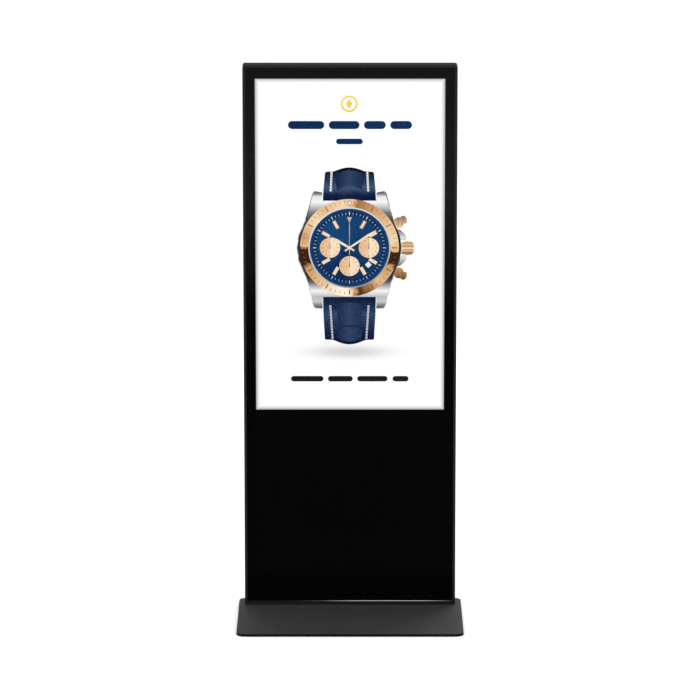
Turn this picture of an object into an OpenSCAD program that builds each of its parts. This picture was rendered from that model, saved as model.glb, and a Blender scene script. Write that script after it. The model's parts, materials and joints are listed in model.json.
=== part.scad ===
// Free-standing portrait display kiosk with a touch glass front.
// Millimetres. X across the screen, -Y towards the viewer, +Z up, origin on the floor
// under the middle of the base plate.

/* [Screen] */
// Width of the lit picture area
screen_w = 680.4; // [600:0.1:820]
// Height of the lit picture area
screen_h = 1209.6; // [1000:0.1:1460]
// Rim of the display module around the picture area
module_rim = 9; // [7:0.5:12]

/* [Body] */
// Black border at each side, from the picture to the body's side
border_side = 44.3; // [40:0.1:60]
// Black border above the picture
border_top = 50.4; // [40:0.1:80]
// Height of the plain panel below the picture
apron_h = 731; // [690:1:880]
// Depth of the body from front to back
body_d = 60; // [58:1:80]
// Corner radius of the body seen from the front
corner_r = 8; // [4:1:14]

/* [Frame rails] */
// Visible front width of the side and top rails
land = 9; // [7:0.5:12]
// Visible front width of the bottom rail
land_bottom = 14; // [11:0.5:20]
// Wall thickness of the rails
rail_wall = 2.5; // [2:0.1:4]
// How far the ledge behind the glass reaches in past the land
ledge_w = 11; // [9:0.5:13]
// Width of the flange that the rear covers screw to
flange_w = 14; // [12:0.5:18]

/* [Glass front] */
// Glass thickness
glass_t = 5; // [4:0.1:6]
// How far the glass sits behind the frame's front face
glass_recess = 0.5; // [0:0.1:1]
// Gap between the glass edge and the rails
glass_fit = 0.4; // [0.2:0.1:1]
// Thickness of the black border layer
border_t = 0.3; // [0.2:0.1:0.5]
// Thickness of the touch film
film_t = 0.3; // [0.2:0.1:0.5]
// Thickness of the bonding tape
tape_t = 1; // [0.8:0.1:1.6]

/* [Display module] */
// Overall thickness of the display module
module_d = 17; // [15:0.5:22]
// Thickness of the display cell
cell_t = 2; // [1.4:0.1:3]
// Thickness of the diffuser stack
sheets_t = 3; // [2:0.1:4]
// Sheet thickness of the display module's metalwork
module_wall = 1; // [0.8:0.1:1.5]
// Number of backlight strips
led_rows = 10; // [6:1:14]

/* [Structure] */
// Width of each upright
post_w = 30; // [26:1:36]
// Depth of each upright
post_d = 26; // [22:1:28]
// Distance from the body's side to each upright
post_inset = 22; // [20:1:30]
// Wall thickness of the uprights
post_wall = 2.5; // [2:0.1:3.5]
// Thickness of the crossbars, the equipment plate and the cover rail
sheet_t = 2; // [1.5:0.1:2.5]
// Height of the crossbars
crossbar_h = 50; // [40:1:70]
// Thickness of the foot flanges
foot_t = 6; // [5:0.5:8]

/* [Base] */
// Base plate ahead of the body's front face
toe = 400; // [320:1:500]
// Base plate behind the body
heel = 38; // [34:1:60]
// Base plate beyond each side of the body
plate_side = 22; // [14:1:40]
// Thickness of the base plate
plate_t = 8; // [6:0.5:12]
// Corner radius of the base plate
plate_r = 30; // [20:1:45]
// Radius of the rubber pads
pad_r = 20; // [14:1:25]
// Thickness of the rubber pads
pad_t = 2; // [1.5:0.5:4]
// Radius of the floor anchor holes
anchor_r = 5.5; // [4.5:0.1:6.5]
// Distance between the floor anchor holes
anchor_span = 600; // [480:10:700]

/* [Rear covers] */
// Sheet thickness of the rear covers and the service door
cover_t = 1.5; // [1:0.1:2]
// Height of the joint between the covers, below the picture's lower edge
split_drop = 30; // [20:1:50]
// Radius of the cover screws
screw_r = 1.9; // [1.5:0.1:2.4]
// Width of each ventilation slot
slot_w = 4; // [3:0.5:5]
// Length of each ventilation slot
slot_l = 60; // [40:1:80]
// Slots in each ventilation field
slots = 14; // [8:1:16]

/* [Service door] */
// Height of the service door
door_h = 340; // [280:1:400]
// Height of the door's lower edge above the base plate
door_rise = 215; // [205:1:230]
// Gap between the door and its opening
door_fit = 2; // [1:0.5:3]
// Radius of the hinge knuckles
knuckle_r = 3.5; // [3:0.1:4.5]
// Radius of the hinge pins
pin_r = 1.5; // [1:0.1:2]
// Length of each hinge
hinge_l = 50; // [40:1:70]
// Radius of the lock barrel
barrel_r = 9; // [8:0.5:11]
// Radius of the lock plug
plug_r = 6; // [5:0.5:7]
// Reach of the lock's cam
cam_l = 34; // [33:1:38]

/* [Fans] */
// Side of each fan frame
fan_w = 80; // [70:1:92]
// Depth of each fan frame
fan_d = 25; // [20:1:28]
// Height of the fans' centres above the base plate
fan_rise = 150; // [130:1:155]
// Number of blades
blades = 7; // [5:1:9]

/* [Loudspeakers] */
// Side of each loudspeaker
speaker_w = 78; // [66:1:90]
// Depth of each loudspeaker
speaker_d = 30; // [26:1:31]

/* [Power inlet] */
// Width of the recessed tray
tray_w = 120; // [110:1:140]
// Height of the recessed tray
tray_h = 56; // [50:1:64]
// Depth of the recessed tray
tray_d = 25; // [20:1:28]
// Height of the tray's centre above the base plate
tray_rise = 75; // [65:1:90]
// Sheet thickness of the tray
tray_t = 1.5; // [1:0.1:2]
// Angle that the rocker turns through
rocker_sweep = 24; // [16:1:24]

/* [Electronics] */
// Width of the media player
player_w = 180; // [150:1:200]
// Height of the media player
player_h = 110; // [90:1:120]
// Depth of the media player
player_d = 24; // [20:1:26]
// Width of the power supply
psu_w = 215; // [180:1:230]
// Height of the power supply
psu_h = 100; // [90:1:104]
// Depth of the power supply
psu_d = 28; // [24:1:29]

/* [Hidden] */
$fn = 48;

// Derived sizes of the body
body_w = screen_w + 2 * border_side;
body_h = apron_h + screen_h + border_top;
half_w = body_w / 2;
plate_w = body_w + 2 * plate_side;
plate_d = toe + body_d + heel;
body_y = toe - plate_d / 2;
body_z0 = pad_t + plate_t;
body_z1 = body_z0 + body_h;
screen_z0 = body_z0 + apron_h;
screen_z1 = screen_z0 + screen_h;

// Depths behind the body's front face, from the front to the back
glass_v1 = glass_recess + glass_t;
border_v1 = glass_v1 + border_t;
film_v1 = border_v1 + film_t;
ledge_v0 = border_v1 + tape_t;
ledge_v1 = ledge_v0 + rail_wall;
foam_v1 = film_v1 + tape_t;
cell_v0 = foam_v1 + module_wall;
cell_v1 = cell_v0 + cell_t;
sheets_v1 = cell_v1 + sheets_t;
module_v1 = foam_v1 + module_d;
sheet_v1 = module_v1 + sheet_t;
post_v1 = sheet_v1 + post_d;
cover_v0 = body_d - cover_t;
flange_v0 = cover_v0 - rail_wall;

// Places that several pieces share
module_half = screen_w / 2 + module_rim;
post_x1 = half_w - post_inset;
post_x0 = post_x1 - post_w;
post_x = (post_x0 + post_x1) / 2;
side_gap = 12;
fan_x = post_x0 - side_gap - fan_w / 2;
fan_z = body_z0 + fan_rise;
speaker_x = post_x0 - side_gap - speaker_w / 2;
door_gap = 54;
door_half = speaker_x - speaker_w / 2 - door_gap;
door_z0 = body_z0 + door_rise;
door_z1 = door_z0 + door_h;
door_z = (door_z0 + door_z1) / 2;
split_z = screen_z0 - split_drop;
cover_gap = 0.5;
joint_gap = 1;

// Equipment plate and what it carries
plate_low = door_z0 - 15;
plate_high = split_z - 52;
psu_z0 = door_z0 + 12;
psu_x0 = 12 - door_half + 18;
player_z1 = door_z1 - 18;
player_z0 = player_z1 - player_h;
player_x0 = psu_x0;
controller_w = 84;
controller_h = 52;
controller_x0 = player_x0 + player_w + 20;
controller_z0 = player_z1 - controller_h;
board_t = 1.6;
standoff = 4;

// Hardware sizes
bolt_r = 4;
bolt_head_r = 8;
bolt_head_h = 4.4;
bolt_clear = 0.5;
nut_across = 13;
nut_h = 6.5;
nut_room = 9;
foot_rim = 10;
foot_pitch_x = post_w / 2 + nut_room;
foot_w = 2 * (foot_pitch_x + foot_rim);
foot_edge = 8;
bracket_d = 9;
bracket_gap = 0.7;
bracket_v0 = ledge_v1 + 1;
bracket_v1 = bracket_v0 + bracket_d;
foot_v0 = bracket_v1 + bracket_gap;
foot_v1 = body_d - 6;
foot_bolt_v = [foot_v0 + foot_edge, foot_v1 - foot_edge];
hole_fit = 0.3;
running_fit = 0.05;
screw_head_r = 4;
screw_head_h = 2.2;
screw_u = 8.5;
screw_depth = 4.5;
tie_rise = [120, 640, 1100, 1500, 1880];

// Hinge, lock, inlet and switch
hinge_x = -door_half - door_fit / 2;
hinge_v = body_d + knuckle_r;
hinge_offset = 110;
leaf_w = 24;
leaf_t = 1.5;
knuckle_gap = 0.3;
knuckle_part = hinge_l / 3;
lip_in = 8;
lip_out = 10;
return_v0 = cover_v0 - 8.5;
lock_x = door_half - 25;
cam_t = 2.2;
cam_w = 14;
cam_v1 = return_v0 - 0.4;
tray_z = body_z0 + tray_rise;
tray_v0 = cover_v0 - tray_d;
tray_floor_v1 = tray_v0 + tray_t;
inlet_x = -24;
inlet_w = 27;
inlet_h = 19.6;
inlet_flange_w = 50;
inlet_flange_t = 2.5;
inlet_mouth_w = 24.2;
inlet_mouth_h = 16.6;
inlet_depth = 20;
switch_x = 36;
switch_flange_w = 16;
switch_flange_h = 26;
switch_flange_t = 2;
switch_body_w = 13;
switch_body_h = 21.4;
switch_window_w = 9.6;
switch_window_h = 18.8;
switch_depth = 16;
rocker_w = 9;
rocker_pin_r = 1.2;
button_r = 5;
button_x = player_x0 + player_w - 22;
button_z = player_z1 - 22;
button_rise = 1.6;

// Cable routes: [x, depth behind the front face, height], chosen by hand
power_route = [
    [-24, 11.2, 86.5], [-24, 11.2, 76], [-21, 11.2, 62], [0, 12, 55], [50, 14, 54], [110, 16, 60],
    [160, 20, 90], [176, 28, 140], [172, 34, 190], [150, 39, 222], [122, 42, 248], [100, 43, 268],
    [84, 43, 274], [68, 43, 274], [52.5, 43, 274]
];
display_route = [
    [-60, 38, 547], [-60, 38, 560], [-60, 37, 590], [-60, 32, 630], [-60, 28.7, 670],
    [-60, 28, 715], [-60, 27.7, 760], [-60, 27.7, 800.5]
];
touch_route = [
    [105, 7.8, 731.5], [105, 7.8, 724], [105, 9.5, 712], [105, 15, 696], [105, 22, 680],
    [105, 30, 668], [105, 35, 650], [105, 36, 620], [105, 35, 585], [105, 34.2, 560],
    [105, 34.2, 547]
];

// Rectangle in the front view between two corners
module rect(x0, z0, x1, z1) {
    translate([x0, z0])
        square([x1 - x0, z1 - z0]);
}

// Rectangle with round corners in the front view
module rounded(x0, z0, x1, z1, r) {
    rect(x0 + r, z0, x1 - r, z1);
    rect(x0, z0 + r, x1, z1 - r);
    for (x = [x0 + r, x1 - r], z = [z0 + r, z1 - r])
        translate([x, z])
            circle(r);
}

// Upright slot with round ends
module slot_shape(x, z, w, l) {
    rect(x - w / 2, z - l / 2 + w / 2, x + w / 2, z + l / 2 - w / 2);
    for (s = [-1, 1])
        translate([x, z + s * (l - w) / 2])
            circle(w / 2, $fn = 24);
}

// Solid of a front-view outline from depth v0 to v1 behind the body's front face
module slab(v0, v1) {
    translate([0, body_y + v1, 0])
        rotate([90, 0, 0])
            linear_extrude(v1 - v0)
                children();
}

// Places a child at x, z and depth v, with its own Z axis pointing to the front
module inward(x, z, v) {
    translate([x, body_y + v, z])
        rotate([90, 0, 0])
            children();
}

// Round pin along Y between two depths
module peg(x, z, v0, v1, r) {
    inward(x, z, v1)
        cylinder(h = v1 - v0, r = r);
}

// Block from a low corner [x, depth, z] to a high one
module block(low, high) {
    translate([low[0], body_y + low[1], low[2]])
        cube([high[0] - low[0], high[1] - low[1], high[2] - low[2]]);
}

// The body's outline in the front view, drawn in by an inset
module body_outline(side, bottom, r) {
    rounded(-half_w + side, body_z0 + bottom, half_w - side, body_z1 - side, r);
}

// Ring between the body's outline and a rectangle inside it
module frame_ring(side, bottom) {
    difference() {
        body_outline(0, 0, corner_r);
        rect(-half_w + side, body_z0 + bottom, half_w - side, body_z1 - side);
    }
}

// Rectangular ring around the picture area
module screen_ring(outer, inner) {
    difference() {
        rect(-screen_w / 2 - outer, screen_z0 - outer, screen_w / 2 + outer, screen_z1 + outer);
        rect(-screen_w / 2 - inner, screen_z0 - inner, screen_w / 2 + inner, screen_z1 + inner);
    }
}

// Outline of the display module, drawn in by an inset
module module_outline(inset) {
    rect(-module_half + inset, screen_z0 - module_rim + inset,
        module_half - inset, screen_z1 + module_rim - inset);
}

// Extruded section of all four rails, before it is mitred
module rail_section() {
    slab(0, ledge_v1)
        frame_ring(land, land_bottom);
    slab(ledge_v0, ledge_v1)
        frame_ring(land + ledge_w, land_bottom + ledge_w);
    slab(0, body_d)
        frame_ring(rail_wall, rail_wall);
    slab(flange_v0, cover_v0)
        frame_ring(flange_w, flange_w);
}

// Even positions between two ends
function spread(from, to, count) = [for (i = [0:count - 1]) from + (to - from) * i / (count - 1)];

// Places [x, z] of the screws that hold the rear covers
side_screw_x = half_w - screw_u;
edge_screw_x = spread(-half_w + 60, half_w - 60, 4);
lower_screw_z = spread(body_z0 + 50, split_z - 30, 4);
upper_screw_z = spread(split_z + 30, body_z1 - 50, 6);
rail_screws = concat(
    [for (s = [-1, 1], z = concat(lower_screw_z, upper_screw_z)) [s * side_screw_x, z]],
    [for (x = edge_screw_x, z = [body_z0 + screw_u, body_z1 - screw_u]) [x, z]]
);
joint_screws = [for (x = edge_screw_x, s = [-1, 1]) [x, split_z + s * 8]];
cover_screw_places = concat(rail_screws, joint_screws);

// Places [x, depth] of the bolts that hold the uprights to the base
base_bolt_places = [
    for (s = [-1, 1], x = [post_x - foot_pitch_x, post_x + foot_pitch_x], v = foot_bolt_v) [s * x, v]
];

// Places [x, z] of the screws between the uprights and the plates across them
upper_bar_z = screen_z1 - 210;
lower_bar_z = screen_z0 + 190;
structure_screw_places = [
    for (s = [-1, 1], z = [plate_low + 20, plate_high - 20, lower_bar_z - 12, lower_bar_z + 12,
        upper_bar_z - 12, upper_bar_z + 12]) [s * post_x, z]
];
display_screw_places = [for (x = [-240, 0, 240], z = [lower_bar_z + 12, upper_bar_z + 12]) [x, z]];

// Vertical holes through the base parts for the bolts
module base_bolt_holes(z0, z1) {
    for (p = base_bolt_places)
        translate([p[0], body_y + p[1], z0])
            cylinder(h = z1 - z0, r = bolt_r + bolt_clear);
}

// ---- Base ----

module base_plate() {
    color([0.16, 0.16, 0.17])
        difference() {
            translate([0, 0, pad_t])
                linear_extrude(plate_t)
                    rounded(-plate_w / 2, -plate_d / 2, plate_w / 2, plate_d / 2, plate_r);
            base_bolt_holes(pad_t - 1, body_z0 + 1);
            for (p = base_bolt_places)
                translate([p[0], body_y + p[1], pad_t])
                    cylinder(h = bolt_head_h + bolt_clear, r1 = bolt_head_r + bolt_clear,
                        r2 = bolt_r + bolt_clear);
            for (s = [-1, 1])
                translate([s * anchor_span / 2, plate_d / 2 - heel / 2, pad_t - 1])
                    cylinder(h = plate_t + 2, r = anchor_r);
        }
}

module base_pads() {
    reach_x = plate_w / 2 - plate_r - pad_r / 2;
    reach_y = plate_d / 2 - plate_r - pad_r / 2;
    color([0.05, 0.05, 0.05])
        for (x = [-reach_x, 0, reach_x], y = [-reach_y, reach_y])
            translate([x, y, 0])
                cylinder(h = pad_t, r = pad_r);
}

module base_bolts() {
    stack = plate_t + rail_wall + foot_t + nut_h + 2;
    color([0.62, 0.63, 0.65])
        for (p = base_bolt_places)
            translate([p[0], body_y + p[1], pad_t]) {
                difference() {
                    cylinder(h = bolt_head_h, r1 = bolt_head_r, r2 = bolt_r);
                    translate([0, 0, -1])
                        cylinder(h = 3.5, r = 2.9, $fn = 6);
                }
                translate([0, 0, bolt_head_h - 0.5])
                    cylinder(h = stack - bolt_head_h + 0.5, r = bolt_r);
            }
}

module base_nuts() {
    color([0.7, 0.7, 0.72])
        for (p = base_bolt_places)
            translate([p[0], body_y + p[1], body_z0 + rail_wall + foot_t])
                difference() {
                    rotate(30)
                        cylinder(h = nut_h, r = nut_across / 2 / cos(30), $fn = 6);
                    translate([0, 0, -1])
                        cylinder(h = nut_h + 2, r = bolt_r + running_fit);
                }
}

// ---- Frame ----

// Wedge in the front view that mitres one side rail at both ends
module side_wedge(side) {
    m = half_w / 2;
    polygon([
        [side * half_w, body_z0], [side * half_w, body_z1],
        [side * (half_w - m), body_z1 - m], [side * (half_w - m), body_z0 + m]
    ]);
}

module side_rail(side) {
    color([0.09, 0.09, 0.1])
        difference() {
            intersection() {
                rail_section();
                slab(-1, body_d + 1)
                    side_wedge(side);
            }
            for (p = rail_screws)
                if (p[0] * side > side_screw_x - 1)
                    peg(p[0], p[1], flange_v0 - 1, cover_v0 + 1, screw_r + running_fit);
        }
}

module end_rail(z) {
    color([0.09, 0.09, 0.1])
        difference() {
            intersection() {
                rail_section();
                difference() {
                    slab(-1, body_d + 1)
                        rect(-half_w, z - half_w / 2, half_w, z + half_w / 2);
                    for (side = [-1, 1])
                        slab(-2, body_d + 2)
                            side_wedge(side);
                }
            }
            for (p = rail_screws)
                if (abs(p[1] - z) < flange_w && abs(p[0]) < side_screw_x - 1)
                    peg(p[0], p[1], flange_v0 - 1, cover_v0 + 1, screw_r + running_fit);
            base_bolt_holes(body_z0 - 1, body_z0 + rail_wall + 1);
        }
}

module frame_left() {
    side_rail(-1);
}

module frame_right() {
    side_rail(1);
}

module frame_top() {
    end_rail(body_z1);
}

module frame_bottom() {
    end_rail(body_z0);
}

bracket_leg = 60;
bracket_t = 3;
bracket_screw_reach = [26, 48];

// Mirrors a child placed for the upper right corner of the body into all four corners
module each_corner() {
    for (sx = [-1, 1], sz = [-1, 1])
        translate([0, 0, (body_z0 + body_z1) / 2])
            mirror([sx < 0 ? 1 : 0, 0, 0])
                mirror([0, 0, sz < 0 ? 1 : 0])
                    children();
}

corner_x = half_w - rail_wall;
corner_z = body_h / 2 - rail_wall;

module corner_brackets() {
    color([0.55, 0.56, 0.58])
        each_corner()
            difference() {
                union() {
                    block([corner_x - bracket_t, bracket_v0, corner_z - bracket_leg],
                        [corner_x, bracket_v1, corner_z - corner_r]);
                    block([corner_x - bracket_leg, bracket_v0, corner_z - bracket_t],
                        [corner_x - corner_r, bracket_v1, corner_z]);
                    translate([corner_x - corner_r, body_y + bracket_v1, corner_z - corner_r])
                        rotate([90, 0, 0])
                            linear_extrude(bracket_v1 - bracket_v0)
                                polygon([[0, corner_r], [corner_r, 0], [corner_r - bracket_t, 0],
                                    [corner_r - bracket_t, -3], [-3, corner_r - bracket_t],
                                    [0, corner_r - bracket_t]]);
                }
                for (reach = bracket_screw_reach) {
                    translate([corner_x - bracket_t - 1, body_y + (bracket_v0 + bracket_v1) / 2,
                            corner_z - reach])
                        rotate([0, 90, 0])
                            cylinder(h = bracket_t + 2, r = 2.5);
                    translate([corner_x - reach, body_y + (bracket_v0 + bracket_v1) / 2,
                            corner_z - bracket_t - 1])
                        cylinder(h = bracket_t + 2, r = 2.5);
                }
            }
}

module corner_screws() {
    grub_l = 5;
    color([0.75, 0.75, 0.77])
        each_corner()
            for (reach = bracket_screw_reach) {
                translate([corner_x - grub_l, body_y + (bracket_v0 + bracket_v1) / 2, corner_z - reach])
                    rotate([0, 90, 0])
                        cylinder(h = grub_l, r = 2.5 - running_fit);
                translate([corner_x - reach, body_y + (bracket_v0 + bracket_v1) / 2, corner_z - grub_l])
                    cylinder(h = grub_l, r = 2.5 - running_fit);
            }
}

// ---- Glass front ----

module glass_outline(inset) {
    side = land + glass_fit + inset;
    rect(-half_w + side, body_z0 + land_bottom + glass_fit + inset, half_w - side, body_z1 - side);
}

module front_glass() {
    color([0.1, 0.11, 0.12, 0.4])
        slab(glass_recess, glass_v1)
            glass_outline(0);
}

module black_border() {
    color([0.02, 0.02, 0.02])
        slab(glass_v1, border_v1)
            difference() {
                glass_outline(0);
                rect(-screen_w / 2, screen_z0, screen_w / 2, screen_z1);
            }
}

module touch_film() {
    color([0.6, 0.65, 0.7, 0.3])
        slab(border_v1, film_v1)
            screen_area(module_rim + 3);
}

module screen_area(grow) {
    rect(-screen_w / 2 - grow, screen_z0 - grow, screen_w / 2 + grow, screen_z1 + grow);
}

module glass_tape() {
    color([0.12, 0.12, 0.12])
        slab(border_v1, ledge_v0)
            difference() {
                glass_outline(0.2);
                glass_outline(ledge_w - 1.5);
            }
}

module touch_controller() {
    color([0.05, 0.3, 0.16]) {
        slab(sheet_v1 + standoff, sheet_v1 + standoff + board_t)
            rect(controller_x0, controller_z0, controller_x0 + controller_w, controller_z0 + controller_h);
        for (x = [5, controller_w - 5], z = [5, controller_h - 5])
            peg(controller_x0 + x, controller_z0 + z, sheet_v1, sheet_v1 + standoff, 2.5);
        block([controller_x0 + 24, sheet_v1 + standoff + board_t, controller_z0 + 14],
            [controller_x0 + 42, sheet_v1 + standoff + board_t + 1.8, controller_z0 + 32]);
        block([controller_x0 + 52, sheet_v1 + standoff + board_t, controller_z0 + 34],
            [controller_x0 + 76, sheet_v1 + standoff + board_t + 5, controller_z0 + controller_h]);
    }
}

// ---- Display module ----

module display_foam() {
    color([0.08, 0.08, 0.08])
        slab(film_v1, foam_v1)
            screen_ring(module_rim - 1, 2);
}

module display_bezel() {
    color([0.12, 0.12, 0.13]) {
        slab(foam_v1, cell_v0)
            screen_ring(module_rim, 1);
        slab(cell_v0, module_v1 - module_wall)
            difference() {
                module_outline(0);
                module_outline(module_wall);
            }
    }
}

module display_cell() {
    color([0.94, 0.95, 0.96])
        slab(cell_v0, cell_v1)
            module_outline(module_wall + 0.3);
}

module diffuser_sheets() {
    color([0.97, 0.97, 0.95])
        slab(cell_v1, sheets_v1)
            module_outline(module_wall + 0.3);
}

module display_pan() {
    color([0.66, 0.67, 0.69])
        difference() {
            union() {
                slab(sheets_v1, module_v1)
                    difference() {
                        module_outline(module_wall + 0.3);
                        module_outline(2 * module_wall + 0.3);
                    }
                slab(sheets_v1, sheets_v1 + module_wall)
                    difference() {
                        module_outline(module_wall + 0.3);
                        module_outline(module_rim);
                    }
                slab(module_v1 - module_wall, module_v1)
                    module_outline(module_wall + 0.3);
            }
            for (p = display_screw_places)
                peg(p[0], p[1], module_v1 - module_wall - 1, module_v1 + 1, screw_r + running_fit);
        }
}

module backlight_strips() {
    strip_h = 12;
    strip_half = screen_w / 2 - 30;
    color([0.92, 0.9, 0.8])
        for (z = spread(screen_z0 + 60, screen_z1 - 60, led_rows)) {
            slab(module_v1 - module_wall - 1.6, module_v1 - module_wall)
                rect(-strip_half, z - strip_h / 2, strip_half, z + strip_h / 2);
            for (x = spread(-strip_half + 40, strip_half - 40, 7))
                peg(x, z, module_v1 - module_wall - 3.6, module_v1 - module_wall - 1.6, 4);
        }
}

// Screw with a round head at depth v, its shank pointing to the front
module screw_inward(x, z, v, length, head_h) {
    peg(x, z, v, v + head_h, screw_head_r);
    peg(x, z, v - length, v, screw_r);
}

module display_screws() {
    color([0.75, 0.75, 0.77])
        for (p = display_screw_places)
            screw_inward(p[0], p[1], sheet_v1, sheet_t + module_wall + 1, screw_head_h);
}

module timing_board() {
    low = screen_z0 + 60;
    color([0.5, 0.52, 0.54]) {
        block([-130, module_v1, low], [60, module_v1 + 1.6, low + 60]);
        block([-120, module_v1 + 1.6, low + 6], [50, module_v1 + 6, low + 54]);
        block([-78, module_v1 + 1.6, low - 0.5], [-42, module_v1 + 5.6, low + 6]);
    }
}

// ---- Structure ----

module upright(side) {
    color([0.5, 0.51, 0.53])
        difference() {
            union() {
                translate([side * post_x, body_y, body_z0 + rail_wall + foot_t])
                    linear_extrude(body_h - rail_wall - foot_t - 40)
                        difference() {
                            translate([-post_w / 2, sheet_v1])
                                square([post_w, post_d]);
                            translate([-post_w / 2 + post_wall, sheet_v1 + post_wall])
                                square([post_w - 2 * post_wall, post_d]);
                        }
                block([side * post_x - foot_w / 2, foot_v0, body_z0 + rail_wall],
                    [side * post_x + foot_w / 2, foot_v1, body_z0 + rail_wall + foot_t]);
            }
            base_bolt_holes(body_z0, body_z0 + rail_wall + foot_t + 1);
            for (p = structure_screw_places)
                if (p[0] * side > 0)
                    peg(p[0], p[1], sheet_v1 - 1, sheet_v1 + post_wall + 1, screw_r + running_fit);
        }
}

module upright_left() {
    upright(-1);
}

module upright_right() {
    upright(1);
}

// Flat bar across both uprights with a stiffening web between them
module crossbar(z) {
    color([0.58, 0.59, 0.61])
        difference() {
            union() {
                slab(module_v1, sheet_v1)
                    rect(-post_x1, z - crossbar_h / 2, post_x1, z + crossbar_h / 2);
                block([-post_x0 + 1, sheet_v1, z - crossbar_h / 2],
                    [post_x0 - 1, sheet_v1 + 20, z - crossbar_h / 2 + sheet_t]);
            }
            for (p = concat(structure_screw_places, display_screw_places))
                if (abs(p[1] - z) < crossbar_h / 2)
                    peg(p[0], p[1], module_v1 - 1, sheet_v1 + 1, screw_r + hole_fit);
        }
}

module crossbar_upper() {
    crossbar(upper_bar_z);
}

module crossbar_lower() {
    crossbar(lower_bar_z);
}

// Stepped rail behind the joint of the two rear covers
module cover_rail() {
    web_x = half_w - flange_w - 2;
    color([0.58, 0.59, 0.61])
        difference() {
            union() {
                slab(post_v1, post_v1 + sheet_t)
                    rect(-post_x1, split_z - 40, post_x1, split_z - 12);
                block([-web_x, post_v1, split_z - 14], [web_x, cover_v0, split_z - 12]);
                slab(cover_v0 - sheet_t, cover_v0)
                    rect(-web_x, split_z - 14, web_x, split_z + 14);
            }
            for (p = joint_screws)
                peg(p[0], p[1], cover_v0 - sheet_t - 1, cover_v0 + 1, screw_r + running_fit);
        }
}

module equipment_plate() {
    color([0.58, 0.59, 0.61])
        slab(module_v1, sheet_v1)
            difference() {
                rect(-post_x1, plate_low, post_x1, plate_high);
                for (p = structure_screw_places)
                    if (p[1] < plate_high)
                        translate(p)
                            circle(screw_r + hole_fit);
            }
}

module frame_ties() {
    color([0.55, 0.56, 0.58])
        for (s = [-1, 1], rise = tie_rise)
            translate([s * (post_x1 + half_w - rail_wall) / 2, 0, body_z0 + rise])
                frame_tie(half_w - rail_wall - post_x1);
}

// U-shaped tie, width w, between an upright and a side rail
module frame_tie(w) {
    leaf = 2.5;
    tie_h = 30;
    block([-w / 2, sheet_v1 + 4, 0], [w / 2, sheet_v1 + 22, leaf]);
    block([-w / 2, sheet_v1 + 4, 0], [-w / 2 + leaf, sheet_v1 + 22, tie_h]);
    block([w / 2 - leaf, sheet_v1 + 4, 0], [w / 2, sheet_v1 + 22, tie_h]);
}

module structure_screws() {
    color([0.75, 0.75, 0.77])
        for (p = structure_screw_places) {
            behind_module = p[1] > screen_z0;
            peg(p[0], p[1], module_v1, sheet_v1 + post_wall + 3, screw_r);
            if (!behind_module)
                peg(p[0], p[1], module_v1 - screw_head_h, module_v1, screw_head_r);
        }
}

// ---- Rear covers ----

module cover_screw_holes() {
    for (p = cover_screw_places)
        translate(p)
            circle(screw_r + hole_fit, $fn = 24);
}

vent_pitch = 10;
vent_x = post_x0 / 2;
upper_vent_z = body_z1 - 110;
lower_vent_z = split_z + 110;

// Field of upright slots centred at x, z
module vent_field(x, z) {
    for (i = [0:slots - 1], row = [-0.5, 0.5])
        slot_shape(x + (i - (slots - 1) / 2) * vent_pitch, z + row * (slot_l + 12), slot_w, slot_l);
}

module rear_cover_upper() {
    color([0.1, 0.1, 0.11])
        slab(cover_v0, body_d)
            difference() {
                rect(-half_w + rail_wall + cover_gap, split_z + joint_gap / 2,
                    half_w - rail_wall - cover_gap, body_z1 - rail_wall - cover_gap);
                for (s = [-1, 1], z = [upper_vent_z, lower_vent_z])
                    vent_field(s * vent_x, z);
                cover_screw_holes();
            }
}

fan_bore_r = fan_w / 2 - 1.7;
fan_hole_pitch = fan_w / 2 - 4.25;
speaker_hole_pitch = speaker_w / 2 - 6;
speaker_plate_t = 2;
cone_gap = 0.3;

module corner_holes(pitch, r) {
    for (sx = [-1, 1], sz = [-1, 1])
        translate([sx * pitch, sz * pitch])
            circle(r, $fn = 24);
}

// Sound slots within a round field
module speaker_slots() {
    field_r = speaker_w / 2 - 8;
    pitch = 8;
    for (i = [-3:3]) {
        reach = sqrt(field_r * field_r - i * i * pitch * pitch);
        rotate(90)
            slot_shape(i * pitch, 0, slot_w, 2 * reach);
    }
}

module rear_cover_lower() {
    color([0.1, 0.1, 0.11])
        slab(cover_v0, body_d)
            difference() {
                rect(-half_w + rail_wall + cover_gap, body_z0 + rail_wall + cover_gap,
                    half_w - rail_wall - cover_gap, split_z - joint_gap / 2);
                rect(-door_half - door_fit, door_z0 - door_fit, door_half + door_fit, door_z1 + door_fit);
                rect(-tray_w / 2, tray_z - tray_h / 2, tray_w / 2, tray_z + tray_h / 2);
                for (s = [-1, 1]) {
                    translate([s * fan_x, fan_z]) {
                        circle(fan_bore_r);
                        corner_holes(fan_hole_pitch, screw_r + hole_fit);
                    }
                    translate([s * speaker_x, door_z]) {
                        speaker_slots();
                        corner_holes(speaker_hole_pitch, screw_r + hole_fit);
                    }
                }
                cover_screw_holes();
            }
}

// Cover, fan and loudspeaker screws, each with a cross recess
module cover_screws() {
    color([0.6, 0.61, 0.63]) {
        for (p = cover_screw_places)
            cross_screw(p[0], p[1], body_d, cover_t + screw_depth);
        for (s = [-1, 1], sx = [-1, 1], sz = [-1, 1]) {
            cross_screw(s * fan_x + sx * fan_hole_pitch, fan_z + sz * fan_hole_pitch,
                body_d + guard_foot_t, guard_foot_t + cover_t + 12);
            cross_screw(s * speaker_x + sx * speaker_hole_pitch, door_z + sz * speaker_hole_pitch,
                body_d, cover_t + speaker_plate_t + 2);
        }
    }
}

module cross_screw(x, z, v, length) {
    difference() {
        screw_inward(x, z, v, length, screw_head_h);
        cross_recess(x, z, v + screw_head_h);
    }
}

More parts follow.
